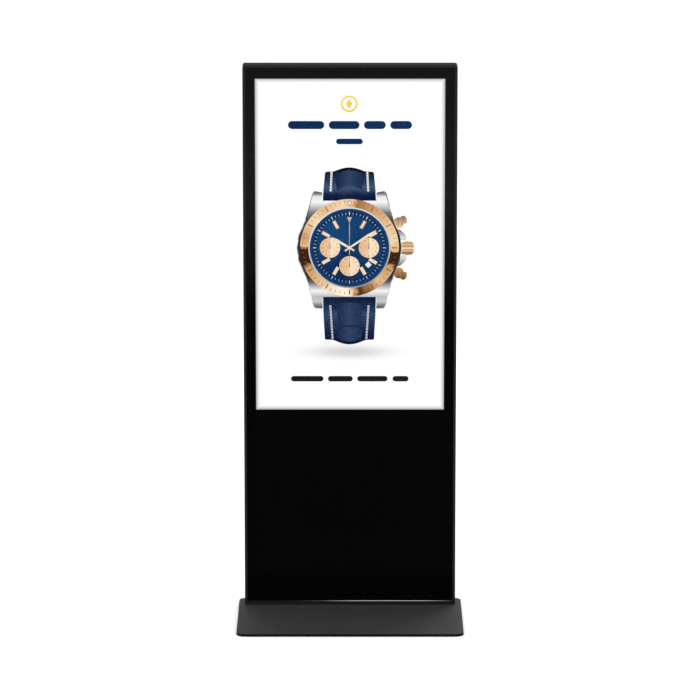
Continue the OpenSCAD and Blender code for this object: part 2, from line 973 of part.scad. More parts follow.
module cross_recess(x, z, v) {
    for (turn = [0, 90])
        inward(x, z, v + 0.5)
            rotate(turn)
                translate([-2, -0.45, 0])
                    cube([4, 0.9, 1.7]);
}

// ---- Service door ----

module door_frame() {
    color([0.1, 0.1, 0.11]) {
        slab(cover_v0 - sheet_t, cover_v0)
            difference() {
                rect(-door_half - lip_out, door_z0 - lip_out, door_half + lip_out, door_z1 + lip_out);
                rect(-door_half + lip_in, door_z0 + lip_in, door_half - lip_in, door_z1 - lip_in);
            }
        slab(return_v0, cover_v0 - sheet_t)
            difference() {
                rect(-door_half + lip_in - cover_t, door_z0 + lip_in - cover_t,
                    door_half - lip_in + cover_t, door_z1 - lip_in + cover_t);
                rect(-door_half + lip_in, door_z0 + lip_in, door_half - lip_in, door_z1 - lip_in);
            }
    }
}

module service_door() {
    color([0.1, 0.1, 0.11])
        slab(cover_v0, body_d)
            difference() {
                rect(-door_half, door_z0, door_half, door_z1);
                translate([lock_x, door_z])
                    circle(barrel_r + hole_fit);
            }
}

// Part of a hinge leaf from z0 to z1: its knuckle, and its flat reaching to x1
module leaf_part(z0, z1, x1, knuckled) {
    near = knuckled ? 0 : sign(x1) * (knuckle_r + knuckle_gap);
    block([min(near, x1), body_d, z0], [max(near, x1), body_d + leaf_t, z1]);
    if (knuckled)
        translate([0, body_y + hinge_v, z0])
            cylinder(h = z1 - z0, r = knuckle_r);
}

// Leaf whose flat reaches to x1, with the middle knuckle or the two end ones
module hinge_leaf(x1, middle) {
    difference() {
        union() {
            leaf_part(-hinge_l / 2, -knuckle_part / 2 - knuckle_gap, x1, !middle);
            leaf_part(-knuckle_part / 2, knuckle_part / 2, x1, middle);
            leaf_part(knuckle_part / 2 + knuckle_gap, hinge_l / 2, x1, !middle);
            block([min(x1, sign(x1) * (knuckle_r + 1)), body_d, -hinge_l / 2],
                [max(x1, sign(x1) * (knuckle_r + 1)), body_d + leaf_t, hinge_l / 2]);
        }
        translate([0, body_y + hinge_v, -hinge_l / 2 - 1])
            cylinder(h = hinge_l + 2, r = pin_r + running_fit);
    }
}

module each_hinge() {
    for (s = [-1, 1])
        translate([hinge_x, 0, door_z + s * hinge_offset])
            children();
}

module door_hinge_leaves() {
    color([0.12, 0.12, 0.13])
        each_hinge()
            hinge_leaf(leaf_w, true);
}

module cover_hinge_leaves() {
    color([0.12, 0.12, 0.13])
        each_hinge()
            hinge_leaf(-leaf_w, false);
}

module hinge_pins() {
    color([0.75, 0.75, 0.77])
        each_hinge()
            translate([0, body_y + hinge_v, -hinge_l / 2 - 1]) {
                cylinder(h = hinge_l + 2, r = pin_r);
                for (z = [0, hinge_l + 1])
                    translate([0, 0, z])
                        cylinder(h = 1, r = pin_r + 1);
            }
}

module lock_barrel() {
    color([0.78, 0.78, 0.8])
        difference() {
            union() {
                peg(lock_x, door_z, cam_v1 + 0.3, body_d, barrel_r);
                peg(lock_x, door_z, body_d, body_d + 2, barrel_r + 2.5);
            }
            peg(lock_x, door_z, cam_v1 - 1, body_d + 3, plug_r + running_fit);
        }
}

module lock_nut() {
    color([0.7, 0.7, 0.72])
        inward(lock_x, door_z, cover_v0)
            difference() {
                cylinder(h = 4, r = 13, $fn = 6);
                translate([0, 0, -1])
                    cylinder(h = 6, r = barrel_r + running_fit);
            }
}

// Plug with its keyway and the cam on its inner end, the cam hanging down when unlocked
module lock_plug() {
    color([0.85, 0.85, 0.86])
        difference() {
            union() {
                peg(lock_x, door_z, cam_v1 - cam_t, body_d + 1.4, plug_r);
                slab(cam_v1 - cam_t, cam_v1)
                    union() {
                        rect(lock_x - cam_w / 2, door_z - cam_l, lock_x + cam_w / 2, door_z);
                        translate([lock_x, door_z])
                            circle(cam_w / 2);
                    }
            }
            block([lock_x - 0.8, body_d - 5, door_z - 3.5], [lock_x + 0.8, body_d + 3, door_z + 3.5]);
        }
}

// ---- Power inlet ----

module inlet_tray() {
    flange = 10;
    color([0.1, 0.1, 0.11])
        difference() {
            union() {
                slab(cover_v0 - tray_t, cover_v0)
                    difference() {
                        rect(-tray_w / 2 - flange, tray_z - tray_h / 2 - flange,
                            tray_w / 2 + flange, tray_z + tray_h / 2 + flange);
                        rect(-tray_w / 2, tray_z - tray_h / 2, tray_w / 2, tray_z + tray_h / 2);
                    }
                slab(tray_v0, cover_v0)
                    difference() {
                        rect(-tray_w / 2 - tray_t, tray_z - tray_h / 2 - tray_t,
                            tray_w / 2 + tray_t, tray_z + tray_h / 2 + tray_t);
                        rect(-tray_w / 2, tray_z - tray_h / 2, tray_w / 2, tray_z + tray_h / 2);
                    }
                slab(tray_v0, tray_floor_v1)
                    rect(-tray_w / 2 - tray_t, tray_z - tray_h / 2 - tray_t,
                        tray_w / 2 + tray_t, tray_z + tray_h / 2 + tray_t);
            }
            block([inlet_x - inlet_w / 2 - 0.2, tray_v0 - 1, tray_z - inlet_h / 2 - 0.2],
                [inlet_x + inlet_w / 2 + 0.2, tray_floor_v1 + 1, tray_z + inlet_h / 2 + 0.2]);
            block([switch_x - switch_body_w / 2 - 0.2, tray_v0 - 1, tray_z - switch_body_h / 2 - 0.2],
                [switch_x + switch_body_w / 2 + 0.2, tray_floor_v1 + 1, tray_z + switch_body_h / 2 + 0.2]);
        }
}

// Socket opening: a rectangle with its two lower corners cut off
module inlet_shape(w, h, cut) {
    polygon([
        [-w / 2, h / 2], [w / 2, h / 2], [w / 2, -h / 2 + cut], [w / 2 - cut, -h / 2],
        [-w / 2 + cut, -h / 2], [-w / 2, -h / 2 + cut]
    ]);
}

inlet_v1 = tray_floor_v1 + inlet_flange_t;
inlet_screw_x = 20;

module power_inlet() {
    color([0.06, 0.06, 0.06])
        difference() {
            union() {
                slab(tray_floor_v1, inlet_v1)
                    translate([inlet_x, tray_z])
                        rounded(-inlet_flange_w / 2, -12, inlet_flange_w / 2, 12, 4);
                slab(inlet_v1 - inlet_depth - 3, tray_floor_v1)
                    rect(inlet_x - inlet_w / 2, tray_z - inlet_h / 2, inlet_x + inlet_w / 2,
                        tray_z + inlet_h / 2);
            }
            slab(inlet_v1 - inlet_depth + 2, inlet_v1 + 1)
                translate([inlet_x, tray_z])
                    inlet_shape(inlet_mouth_w, inlet_mouth_h, 4);
            for (x = [-7, 0, 7])
                slab(inlet_v1 - inlet_depth - 4, inlet_v1 - inlet_depth + 3)
                    inlet_pin_shape(x);
        }
}

// Front-view section of one contact: the middle one stands higher
module inlet_pin_shape(x) {
    z = tray_z + (x == 0 ? 3.5 : -1);
    rect(inlet_x + x - 1, z - 2, inlet_x + x + 1, z + 2);
}

module inlet_pins() {
    color([0.8, 0.76, 0.62])
        for (x = [-7, 0, 7])
            slab(inlet_v1 - inlet_depth - 9, inlet_v1 - 4)
                inlet_pin_shape(x);
}

switch_v1 = tray_floor_v1 + switch_flange_t;
rocker_v = switch_v1 - 2;

module switch_housing() {
    color([0.07, 0.07, 0.07])
        difference() {
            union() {
                slab(tray_floor_v1, switch_v1)
                    translate([switch_x, tray_z])
                        rounded(-switch_flange_w / 2, -switch_flange_h / 2, switch_flange_w / 2,
                            switch_flange_h / 2, 1.5);
                slab(switch_v1 - switch_depth - 2, tray_floor_v1)
                    rect(switch_x - switch_body_w / 2, tray_z - switch_body_h / 2,
                        switch_x + switch_body_w / 2, tray_z + switch_body_h / 2);
            }
            slab(switch_v1 - switch_depth, switch_v1 + 1)
                rect(switch_x - switch_window_w / 2, tray_z - switch_window_h / 2,
                    switch_x + switch_window_w / 2, tray_z + switch_window_h / 2);
            translate([switch_x - switch_body_w / 2 + 0.6, body_y + rocker_v, tray_z])
                rotate([0, 90, 0])
                    cylinder(h = switch_body_w - 1.2, r = rocker_pin_r + running_fit);
        }
}

// Rocker tilted with its lower end pressed in, on a pin along X
module rocker() {
    color([0.55, 0.05, 0.05])
        translate([switch_x, body_y + rocker_v, tray_z])
            rotate([-rocker_sweep / 2, 0, 0]) {
                translate([-rocker_w / 2, 0, 0])
                    rotate([90, 0, 90])
                        linear_extrude(rocker_w)
                            polygon([[5, 8], [3.2, 0], [5, -8], [-3, -5], [-3, 5]]);
                translate([-switch_body_w / 2 + 0.8, 0, 0])
                    rotate([0, 90, 0])
                        cylinder(h = switch_body_w - 1.6, r = rocker_pin_r);
            }
}

// ---- Electronics ----

module power_supply() {
    v1 = sheet_v1 + psu_d;
    color([0.72, 0.73, 0.74]) {
        block([psu_x0 + psu_w - 22, sheet_v1 + 12, psu_z0 + 20],
            [psu_x0 + psu_w - 4, sheet_v1 + 21, psu_z0 + psu_h - 20]);
        difference() {
            block([psu_x0, sheet_v1, psu_z0], [psu_x0 + psu_w, v1, psu_z0 + psu_h]);
            block([psu_x0 + psu_w - 22, sheet_v1 + 12, psu_z0 + 3],
                [psu_x0 + psu_w + 1, v1 + 1, psu_z0 + psu_h - 3]);
            for (i = [0:11], row = [0:2])
                slab(v1 - 1.2, v1 + 1)
                    slot_shape(psu_x0 + 20 + i * 14, psu_z0 + 22 + row * 28, 3, 22);
        }
    }
}

module media_player() {
    v1 = sheet_v1 + player_d;
    color([0.08, 0.08, 0.09])
        difference() {
            slab(sheet_v1, v1)
                rounded(player_x0, player_z0, player_x0 + player_w, player_z1, 4);
            peg(button_x, button_z, v1 - 4, v1 + 1, button_r + 0.3);
            for (i = [0:9])
                slab(v1 - 1, v1 + 1)
                    slot_shape(player_x0 + 24 + i * 11, (player_z0 + player_z1) / 2, 3, 60);
        }
}

// Sockets under the player: [offset along its lower edge, width, depth, wall, hollow]
socket_rows = [[16, 16, 14, 1, 13], [46, 15, 7, 0.8, 9], [70, 15, 7, 0.8, 9], [98, 17, 6.5, 0.8, 8]];
socket_drop = 3;

module player_sockets() {
    color([0.78, 0.78, 0.8])
        for (s = socket_rows)
            difference() {
                block([player_x0 + s[0], sheet_v1 + 5, player_z0 - socket_drop - s[4]],
                    [player_x0 + s[0] + s[1], sheet_v1 + 5 + s[2], player_z0]);
                block([player_x0 + s[0] + s[3], sheet_v1 + 5 + s[3], player_z0 - socket_drop - s[4] - 1],
                    [player_x0 + s[0] + s[1] - s[3], sheet_v1 + 5 + s[2] - s[3],
                        player_z0 - socket_drop]);
            }
}

module power_button() {
    v1 = sheet_v1 + player_d;
    color([0.85, 0.85, 0.86])
        peg(button_x, button_z, v1 - 2.2, v1 + button_rise, button_r);
}

// ---- Fans ----

module fan_frames() {
    hub_t = 3.5;
    color([0.07, 0.07, 0.07])
        for (s = [-1, 1])
            inward(s * fan_x, fan_z, cover_v0)
                difference() {
                    union() {
                        difference() {
                            linear_extrude(fan_d)
                                rounded(-fan_w / 2, -fan_w / 2, fan_w / 2, fan_w / 2, 5);
                            translate([0, 0, -1])
                                cylinder(h = fan_d + 2, r = fan_bore_r);
                        }
                        translate([0, 0, fan_d - hub_t])
                            cylinder(h = hub_t, r = 17);
                        for (turn = [45:90:315])
                            rotate(turn)
                                translate([16, -1.5, fan_d - hub_t])
                                    cube([fan_bore_r - 15.5, 3, hub_t]);
                    }
                    translate([0, 0, fan_d - hub_t - 1])
                        cylinder(h = hub_t + 2, r = pin_r + running_fit);
                    for (sx = [-1, 1], sz = [-1, 1])
                        translate([sx * fan_hole_pitch, sz * fan_hole_pitch, -1])
                            cylinder(h = fan_d + 2, r = screw_r + running_fit);
                }
}

module fan_rotor(side) {
    tip_r = fan_bore_r - 1.3;
    color([0.05, 0.05, 0.05])
        inward(side * fan_x, fan_z, cover_v0)
            union() {
                translate([0, 0, 2.5])
                    cylinder(h = 18, r = 16);
                translate([0, 0, 20])
                    cylinder(h = 4.6, r = pin_r);
                intersection() {
                    translate([0, 0, 3])
                        cylinder(h = 17, r = tip_r);
                    for (i = [0:blades - 1])
                        rotate(i * 360 / blades)
                            translate([14, 0, 11.5])
                                rotate([42, 0, 0])
                                    translate([0, -11, -0.8])
                                        cube([tip_r - 12, 22, 1.6]);
                }
            }
}

module fan_rotor_left() {
    fan_rotor(-1);
}

module fan_rotor_right() {
    fan_rotor(1);
}

guard_foot_t = 2;
guard_eye_r = 5;
guard_head_gap = 0.4;

// Wire finger guard: rings on two crossed wires that end in four eyelets
module fan_guards() {
    wire_r = 1;
    diagonal = fan_hole_pitch * sqrt(2);
    wire_reach = diagonal - screw_head_r - guard_head_gap;
    color([0.7, 0.71, 0.73])
        for (s = [-1, 1])
            inward(s * fan_x, fan_z, body_d)
                union() {
                    for (r = [7, 16, 25, 34])
                        translate([0, 0, -3])
                            rotate_extrude()
                                translate([r, 0])
                                    circle(wire_r, $fn = 16);
                    for (turn = [45, 135])
                        rotate(turn)
                            translate([-wire_reach, 0, -1.8])
                                rotate([0, 90, 0])
                                    cylinder(h = 2 * wire_reach, r = wire_r, $fn = 16);
                    for (sx = [-1, 1], sz = [-1, 1])
                        translate([sx * fan_hole_pitch, sz * fan_hole_pitch, -guard_foot_t])
                            difference() {
                                cylinder(h = guard_foot_t, r = guard_eye_r);
                                translate([0, 0, -1])
                                    cylinder(h = guard_foot_t + 2, r = screw_r + hole_fit);
                            }
                }
}

// ---- Loudspeakers ----

module speaker_baskets() {
    rim_r = speaker_w / 2 - 4.5;
    color([0.1, 0.1, 0.1])
        for (s = [-1, 1])
            inward(s * speaker_x, door_z, cover_v0)
                union() {
                    difference() {
                        linear_extrude(speaker_plate_t)
                            rounded(-speaker_w / 2, -speaker_w / 2, speaker_w / 2, speaker_w / 2, 6);
                        translate([0, 0, -1])
                            cylinder(h = speaker_plate_t + 2, r = rim_r);
                        for (sx = [-1, 1], sz = [-1, 1])
                            translate([sx * speaker_hole_pitch, sz * speaker_hole_pitch, -1])
                                cylinder(h = speaker_plate_t + 2, r = screw_r + running_fit);
                    }
                    rotate_extrude()
                        polygon([[rim_r, speaker_plate_t - 0.1], [rim_r + 2, speaker_plate_t - 0.1],
                            [25, 20], [9, 20], [9, 18.5], [23.5, 18.5]]);
                    translate([0, 0, 20])
                        difference() {
                            cylinder(h = speaker_d - 20, r = 21);
                            translate([0, 0, -1])
                                cylinder(h = 3, r = 9);
                        }
                }
}

module speaker_cones() {
    rim_r = speaker_w / 2 - 4.5 - cone_gap - 0.8;
    color([0.03, 0.03, 0.03])
        for (s = [-1, 1])
            inward(s * speaker_x, door_z, cover_v0)
                union() {
                    rotate_extrude()
                        polygon([[0, 11.5], [4, 12], [8, 14], [rim_r - 4, 2], [rim_r, 2],
                            [rim_r, 3], [rim_r - 3.6, 3], [8.6, 15.4], [4, 13.2], [0, 12.7]]);
                    translate([0, 0, 14.8])
                        difference() {
                            cylinder(h = 5, r = 8.4);
                            translate([0, 0, -1])
                                cylinder(h = 7, r = 7.4);
                        }
                }
}

// ---- Cables ----

// Catmull-Rom point between p1 and p2
function curve_point(p0, p1, p2, p3, t) =
    0.5 * (2 * p1 + (p2 - p0) * t + (2 * p0 - 5 * p1 + 4 * p2 - p3) * t * t
    + (3 * p1 - p0 - 3 * p2 + p3) * t * t * t);

// The route's points with others between them on a smooth curve
function smooth_route(p, steps) = [
    for (i = [0:len(p) - 2], k = [0:steps - (i == len(p) - 2 ? 0 : 1)])
        curve_point(p[max(i - 1, 0)], p[i], p[i + 1], p[min(i + 2, len(p) - 1)], k / steps)
];

function unit(v) = v / norm(v);

// Tube of radius r along a route of [x, depth, height] points, with flat ends
module cable(route, r, steps, sides) {
    path = [for (p = smooth_route(route, steps)) [p[0], body_y + p[1], p[2]]];
    n = len(path);
    points = [
        for (i = [0:n - 1])
            let (
                along = unit(path[min(i + 1, n - 1)] - path[max(i - 1, 0)]),
                across = unit(cross(along, [0.35, 0.9, 0.1])),
                up = cross(along, across)
            )
            for (k = [0:sides - 1])
                path[i] + r * (cos(360 * k / sides) * across + sin(360 * k / sides) * up)
    ];
    faces = concat(
        [[for (k = [0:sides - 1]) k]],
        [for (i = [0:n - 2], k = [0:sides - 1])
            [i * sides + k, (i + 1) * sides + k, (i + 1) * sides + (k + 1) % sides,
                i * sides + (k + 1) % sides]],
        [[for (k = [0:sides - 1]) n * sides - 1 - k]]
    );
    polyhedron(points = points, faces = faces);
}

module power_lead() {
    color([0.05, 0.05, 0.05])
        cable(power_route, 3.2, 4, 10);
}

module display_cable() {
    color([0.6, 0.6, 0.62])
        cable(display_route, 2, 4, 8);
}

module touch_cable() {
    color([0.05, 0.05, 0.05])
        cable(touch_route, 1.6, 4, 8);
}

// ---- Nodes ----

base_plate();
base_pads();
base_bolts();
base_nuts();
frame_left();
frame_right();
frame_top();
frame_bottom();
corner_brackets();
corner_screws();
front_glass();
black_border();
touch_film();
glass_tape();
touch_controller();
touch_cable();
display_foam();
display_bezel();
display_cell();
diffuser_sheets();
backlight_strips();
display_pan();
display_screws();
timing_board();
display_cable();
upright_left();
upright_right();
crossbar_upper();
crossbar_lower();
cover_rail();
equipment_plate();
frame_ties();
structure_screws();
rear_cover_upper();
rear_cover_lower();
cover_screws();
door_frame();
service_door();
door_hinge_leaves();
cover_hinge_leaves();
hinge_pins();
lock_barrel();
lock_nut();
lock_plug();
inlet_tray();
power_inlet();
inlet_pins();
switch_housing();
rocker();
power_lead();
power_supply();
media_player();
player_sockets();
power_button();
fan_frames();
fan_rotor_left();
fan_rotor_right();
fan_guards();
speaker_baskets();
speaker_cones();
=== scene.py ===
"""Looks of a free-standing portrait touchscreen kiosk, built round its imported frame."""
import json
import logging
import math
from dataclasses import dataclass, field
from enum import Enum
from typing import Callable, Sequence

import bpy
from mathutils import Matrix, Vector

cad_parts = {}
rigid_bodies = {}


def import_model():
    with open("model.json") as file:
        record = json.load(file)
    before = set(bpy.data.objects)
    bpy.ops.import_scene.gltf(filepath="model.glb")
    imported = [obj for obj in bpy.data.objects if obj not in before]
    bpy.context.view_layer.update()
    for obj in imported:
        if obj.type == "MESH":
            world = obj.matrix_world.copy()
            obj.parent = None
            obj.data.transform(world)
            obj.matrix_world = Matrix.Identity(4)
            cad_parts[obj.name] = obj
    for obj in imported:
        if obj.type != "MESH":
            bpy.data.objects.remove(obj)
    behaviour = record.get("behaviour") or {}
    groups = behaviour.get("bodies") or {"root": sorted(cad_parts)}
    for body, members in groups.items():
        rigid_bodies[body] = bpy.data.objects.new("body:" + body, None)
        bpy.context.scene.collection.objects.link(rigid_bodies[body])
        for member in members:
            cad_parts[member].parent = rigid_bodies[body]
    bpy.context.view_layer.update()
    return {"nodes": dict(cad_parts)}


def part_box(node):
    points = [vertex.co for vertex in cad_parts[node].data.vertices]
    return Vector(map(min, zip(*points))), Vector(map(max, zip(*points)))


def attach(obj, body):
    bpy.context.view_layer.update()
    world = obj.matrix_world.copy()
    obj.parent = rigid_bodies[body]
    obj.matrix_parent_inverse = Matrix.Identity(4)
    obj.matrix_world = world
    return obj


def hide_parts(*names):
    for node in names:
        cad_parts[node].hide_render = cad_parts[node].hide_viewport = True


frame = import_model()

log = logging.getLogger("kiosk")
Colour = tuple[float, float, float]
Outline = Sequence[tuple[float, float]]
MM = 0.001


class Body(Enum):
    """Rigid bodies that pieces ride on."""

    CABINET = "cabinet"
    DOOR = "door"
    LOCK = "lock"
    SWITCH = "switch"
    FAN_LEFT = "fan_left"
    FAN_RIGHT = "fan_right"
    BUTTON = "button"


class Sweep(Enum):
    """Directions in which a picture's tone can change."""

    ACROSS = "Across"
    UP = "Up"
    ROUND = "Round"
    OUT = "Out"


class Bench:
    """Modelling steps shared by every sub-assembly, each done with Blender's own operators."""

    @staticmethod
    def clear() -> None:
        """Leaves edit mode and deselects everything."""
        active = bpy.context.view_layer.objects.active
        if active is not None and active.mode != "OBJECT":
            bpy.ops.object.mode_set(mode="OBJECT")
        bpy.ops.object.select_all(action="DESELECT")

    @staticmethod
    def pick(*objects: bpy.types.Object) -> None:
        """Selects only these objects and makes the last one active.

        Args:
            objects: The objects to select.
        """
        Bench.clear()
        for each in objects:
            each.select_set(True)
        bpy.context.view_layer.objects.active = objects[-1]

    @staticmethod
    def edit(obj: bpy.types.Object, mode: str = "VERT") -> None:
        """Opens an object in edit mode with all of it selected.

        Args:
            obj: The mesh object.
            mode: VERT, EDGE or FACE.
        """
        Bench.pick(obj)
        bpy.ops.object.mode_set(mode="EDIT")
        bpy.ops.mesh.select_mode(type=mode)
        bpy.ops.mesh.select_all(action="SELECT")

    @staticmethod
    def select_faces(obj: bpy.types.Object, test: Callable[[Vector, Vector], bool]) -> None:
        """Selects the faces whose centre and normal pass a test, and stays in edit mode.

        Args:
            obj: The mesh object being edited.
            test: Takes a face's centre and normal, and returns whether it is wanted.
        """
        bpy.ops.mesh.select_all(action="DESELECT")
        bpy.ops.mesh.select_mode(type="FACE")
        bpy.ops.object.mode_set(mode="OBJECT")
        for face in obj.data.polygons:
            face.select = test(face.center, face.normal)
        bpy.ops.object.mode_set(mode="EDIT")

    @staticmethod
    def settle(obj: bpy.types.Object, name: str) -> bpy.types.Object:
        """Names an object and applies its place, turn and scale to its mesh.

        Args:
            obj: The object.
            name: Its new name.

        Returns:
            The same object.
        """
        Bench.pick(obj)
        obj.name = name
        obj.data.name = name
        bpy.ops.object.transform_apply(location=True, rotation=True, scale=True)
        return obj

    @staticmethod
    def smooth(obj: bpy.types.Object, degrees: float = 35.0) -> bpy.types.Object:
        """Shades an object smooth except at edges sharper than an angle.

        Args:
            obj: The object.
            degrees: The angle at which an edge stays sharp.

        Returns:
            The same object.
        """
        Bench.pick(obj)
        bpy.ops.object.shade_smooth_by_angle(angle=math.radians(degrees))
        return obj

    @staticmethod
    def outward(obj: bpy.types.Object) -> None:
        """Merges doubled points and turns every face outwards.

        Args:
            obj: The mesh object.
        """
        Bench.edit(obj)
        bpy.ops.mesh.remove_doubles(threshold=1e-6)
        bpy.ops.mesh.normals_make_consistent(inside=False)
        bpy.ops.object.mode_set(mode="OBJECT")

    @staticmethod
    def bevelled(obj: bpy.types.Object, width: float, segments: int = 2, degrees: float = 40.0,
                 edge_slot: int = -1) -> bpy.types.Object:
        """Rounds an object's sharp edges and applies the result.

        Args:
            obj: The object.
            width: Width of the rounding, in metres.
            segments: Steps across the rounding.
            degrees: Edges sharper than this are rounded.
            edge_slot: Material slot that the rounded edges take, or -1 for their own.

        Returns:
            The same object, shaded smooth.
        """
        Bench.pick(obj)
        rounding = obj.modifiers.new("rounding", "BEVEL")
        rounding.width = width
        rounding.segments = segments
        rounding.limit_method = "ANGLE"
        rounding.angle_limit = math.radians(degrees)
        rounding.material = edge_slot
        bpy.ops.object.modifier_apply(modifier=rounding.name)
        return Bench.flat_faces(Bench.smooth(obj))

    @staticmethod
    def flat_faces(obj: bpy.types.Object) -> bpy.types.Object:
        """Turns shading normals towards the larger faces, so that flat faces look flat.

        Args:
            obj: The object, already shaded smooth.

        Returns:
            The same object.
        """
        Bench.pick(obj)
        weigh = obj.modifiers.new("weigh", "WEIGHTED_NORMAL")
        weigh.weight = 100
        weigh.keep_sharp = True
        bpy.ops.object.modifier_apply(modifier=weigh.name)
        return obj

    @staticmethod
    def box(name: str, low: Sequence[float], high: Sequence[float], bevel: float = 0.0,
            segments: int = 2) -> bpy.types.Object:
        """Block between two corners with rounded edges.

        Args:
            name: Name of the piece.
            low: Lowest corner, in metres.
            high: Highest corner, in metres.
            bevel: Width of its edge rounding.
            segments: Steps across the rounding.

        Returns:
            The block.
        """
        low, high = Vector(low), Vector(high)
        Bench.clear()
        bpy.ops.mesh.primitive_cube_add(size=1, location=(low + high) / 2, scale=high - low)
        obj = Bench.settle(bpy.context.object, name)
        return Bench.bevelled(obj, bevel, segments) if bevel else obj

    @staticmethod
    def disc(name: str, centre: Sequence[float], radius: float, depth: float, axis: str = "Y",
             bevel: float = 0.0, vertices: int = 48) -> bpy.types.Object:
        """Round disc or post with rounded rims.

        Args:
            name: Name of the piece.
            centre: Its centre, in metres.
            radius: Its radius.
            depth: Its length along its axis.
            axis: X, Y or Z.
            bevel: Width of the rim rounding.
            vertices: Steps round it.

        Returns:
            The disc.
        """
        turns = {"X": (0, math.pi / 2, 0), "Y": (math.pi / 2, 0, 0), "Z": (0, 0, 0)}
        Bench.clear()
        bpy.ops.mesh.primitive_cylinder_add(
            vertices=vertices, radius=radius, depth=depth, location=centre, rotation=turns[axis])
        obj = Bench.settle(bpy.context.object, name)
        return Bench.bevelled(obj, bevel) if bevel else Bench.smooth(obj)

    @staticmethod
    def trace(points: Sequence[Vector]) -> bpy.types.Object:
        """Draws a line of edges through points, and stays in edit mode with its end selected.

        Args:
            points: The places that the line passes through.

        Returns:
            The object that holds the line.
        """
        Bench.clear()
        bpy.ops.mesh.primitive_plane_add(size=MM, location=points[0])
        obj = bpy.context.object
        bpy.ops.object.mode_set(mode="EDIT")
        bpy.ops.mesh.select_mode(type="VERT")
        bpy.ops.mesh.select_all(action="SELECT")
        bpy.ops.mesh.merge(type="CENTER")
        for here, there in zip(points, points[1:]):
            bpy.ops.mesh.extrude_region_move(TRANSFORM_OT_translate={"value": there - here})
        return obj

    @staticmethod
    def pushed(name: str, corners: Sequence[Vector], push: Sequence[float]) -> bpy.types.Object:
        """Solid of a flat outline pushed along a line.

        Args:
            name: Name of the piece.
            corners: Its corners, without repeating the first.
            push: How far the outline is extruded.

        Returns:
            The solid.
        """
        obj = Bench.trace(corners)
        bpy.ops.mesh.select_all(action="SELECT")
        bpy.ops.mesh.edge_face_add()
        bpy.ops.mesh.select_all(action="SELECT")
        bpy.ops.mesh.extrude_region_move(TRANSFORM_OT_translate={"value": push})
        bpy.ops.object.mode_set(mode="OBJECT")
        Bench.outward(obj)
        return Bench.settle(obj, name)

    @staticmethod
    def prism(name: str, outline: Outline, near: float, far: float) -> bpy.types.Object:
        """Solid of an upright outline between two depths.

        Args:
            name: Name of the piece.
            outline: Its corners as (x, z), in metres, without repeating the first.
            near: Depth of its front face, as y.
            far: Depth of its rear face, as y.

        Returns:
            The solid.
        """
        return Bench.pushed(name, [Vector((x, near, z)) for x, z in outline], (0, far - near, 0))

    @staticmethod
    def cut(obj: bpy.types.Object, tool: bpy.types.Object) -> bpy.types.Object:
        """Cuts one piece out of another and deletes the one that cut.

        Args:
            obj: The piece that is cut.
            tool: The piece whose shape is taken out of it.

        Returns:
            The cut piece.
        """
        Bench.pick(obj)
        cutter = obj.modifiers.new("cutter", "BOOLEAN")
        cutter.operation = "DIFFERENCE"
        cutter.object = tool
        cutter.solver = "EXACT"
        bpy.ops.object.modifier_apply(modifier=cutter.name)
        Bench.pick(tool)
        bpy.ops.object.delete()
        return Bench.smooth(obj)

    @staticmethod
    def paint(obj: bpy.types.Object, material: bpy.types.Material,
              test: Callable[[Vector, Vector], bool]) -> None:
        """Gives the faces that pass a test a material of their own.

        Args:
            obj: The object.
            material: The material for those faces.
            test: Takes a face's centre and normal, and returns whether it is wanted.
        """
        if not obj.data.materials:
            obj.data.materials.append(material)
        obj.data.materials.append(material)
        Bench.edit(obj, "FACE")
        Bench.select_faces(obj, test)
        obj.active_material_index = len(obj.data.materials) - 1
        bpy.ops.object.material_slot_assign()
        bpy.ops.object.mode_set(mode="OBJECT")

    @staticmethod
    def cross_heads(name: str, places: Sequence[Sequence[float]], radius: float,
                    height: float) -> bpy.types.Object:
        """Domed screw heads with cross recesses, seen from the rear.

        Args:
            name: Name of the joined heads.
            places: Centre of each head's seat, in metres.
            radius: Radius of a head.
            height: Height of a head above its seat.

        Returns:
            The joined heads.
        """
        wide_r, tall = radius / MM, height / MM
        head = Bench.turned("screw_master", (0, 0, 0), [
            (0, tall), (0.45 * wide_r, 0.94 * tall), (0.8 * wide_r, 0.66 * tall),
            (wide_r, 0.2 * tall), (wide_r, 0), (0, 0)], 20)
        long, thin = 0.55 * wide_r, 0.13 * wide_r
        for across, up in ((long, thin), (thin, long)):
            head = Bench.cut(head, Bench.box("recess", (-across, 0.45 * tall, -up),
                                             (across, 1.5 * tall, up)))
        copies = [Bench.copy(head, name, Matrix.Translation(place) @ Matrix.Scale(MM, 4))
                  for place in places]
        Bench.pick(head)
        bpy.ops.object.delete()
        return Bench.joined(name, copies)

    @staticmethod
    def turned(name: str, centre: Sequence[float], profile: Outline, steps: int = 48,
               closed: bool = False, degrees: float = 35.0) -> bpy.types.Object:
        """Solid turned round an axis along Y.

        Args:
            name: Name of the piece.
            centre: A point on its axis.
            profile: Its section as (radius, offset along y), in metres.
            steps: Steps round it.
            closed: Whether the section is a loop that stays clear of the axis.
            degrees: The angle at which an edge stays sharp.

        Returns:
            The solid.
        """
        centre = Vector(centre)
        line = [centre + Vector((r, y, 0)) for r, y in profile]
        obj = Bench.trace(line + line[:1] if closed else line)
        bpy.ops.mesh.select_all(action="SELECT")
        bpy.ops.mesh.remove_doubles(threshold=1e-7)
        bpy.ops.mesh.select_all(action="SELECT")
        bpy.ops.mesh.spin(steps=steps, angle=2 * math.pi, center=centre, axis=(0, 1, 0))
        bpy.ops.object.mode_set(mode="OBJECT")
        Bench.outward(obj)
        return Bench.smooth(Bench.settle(obj, name), degrees)

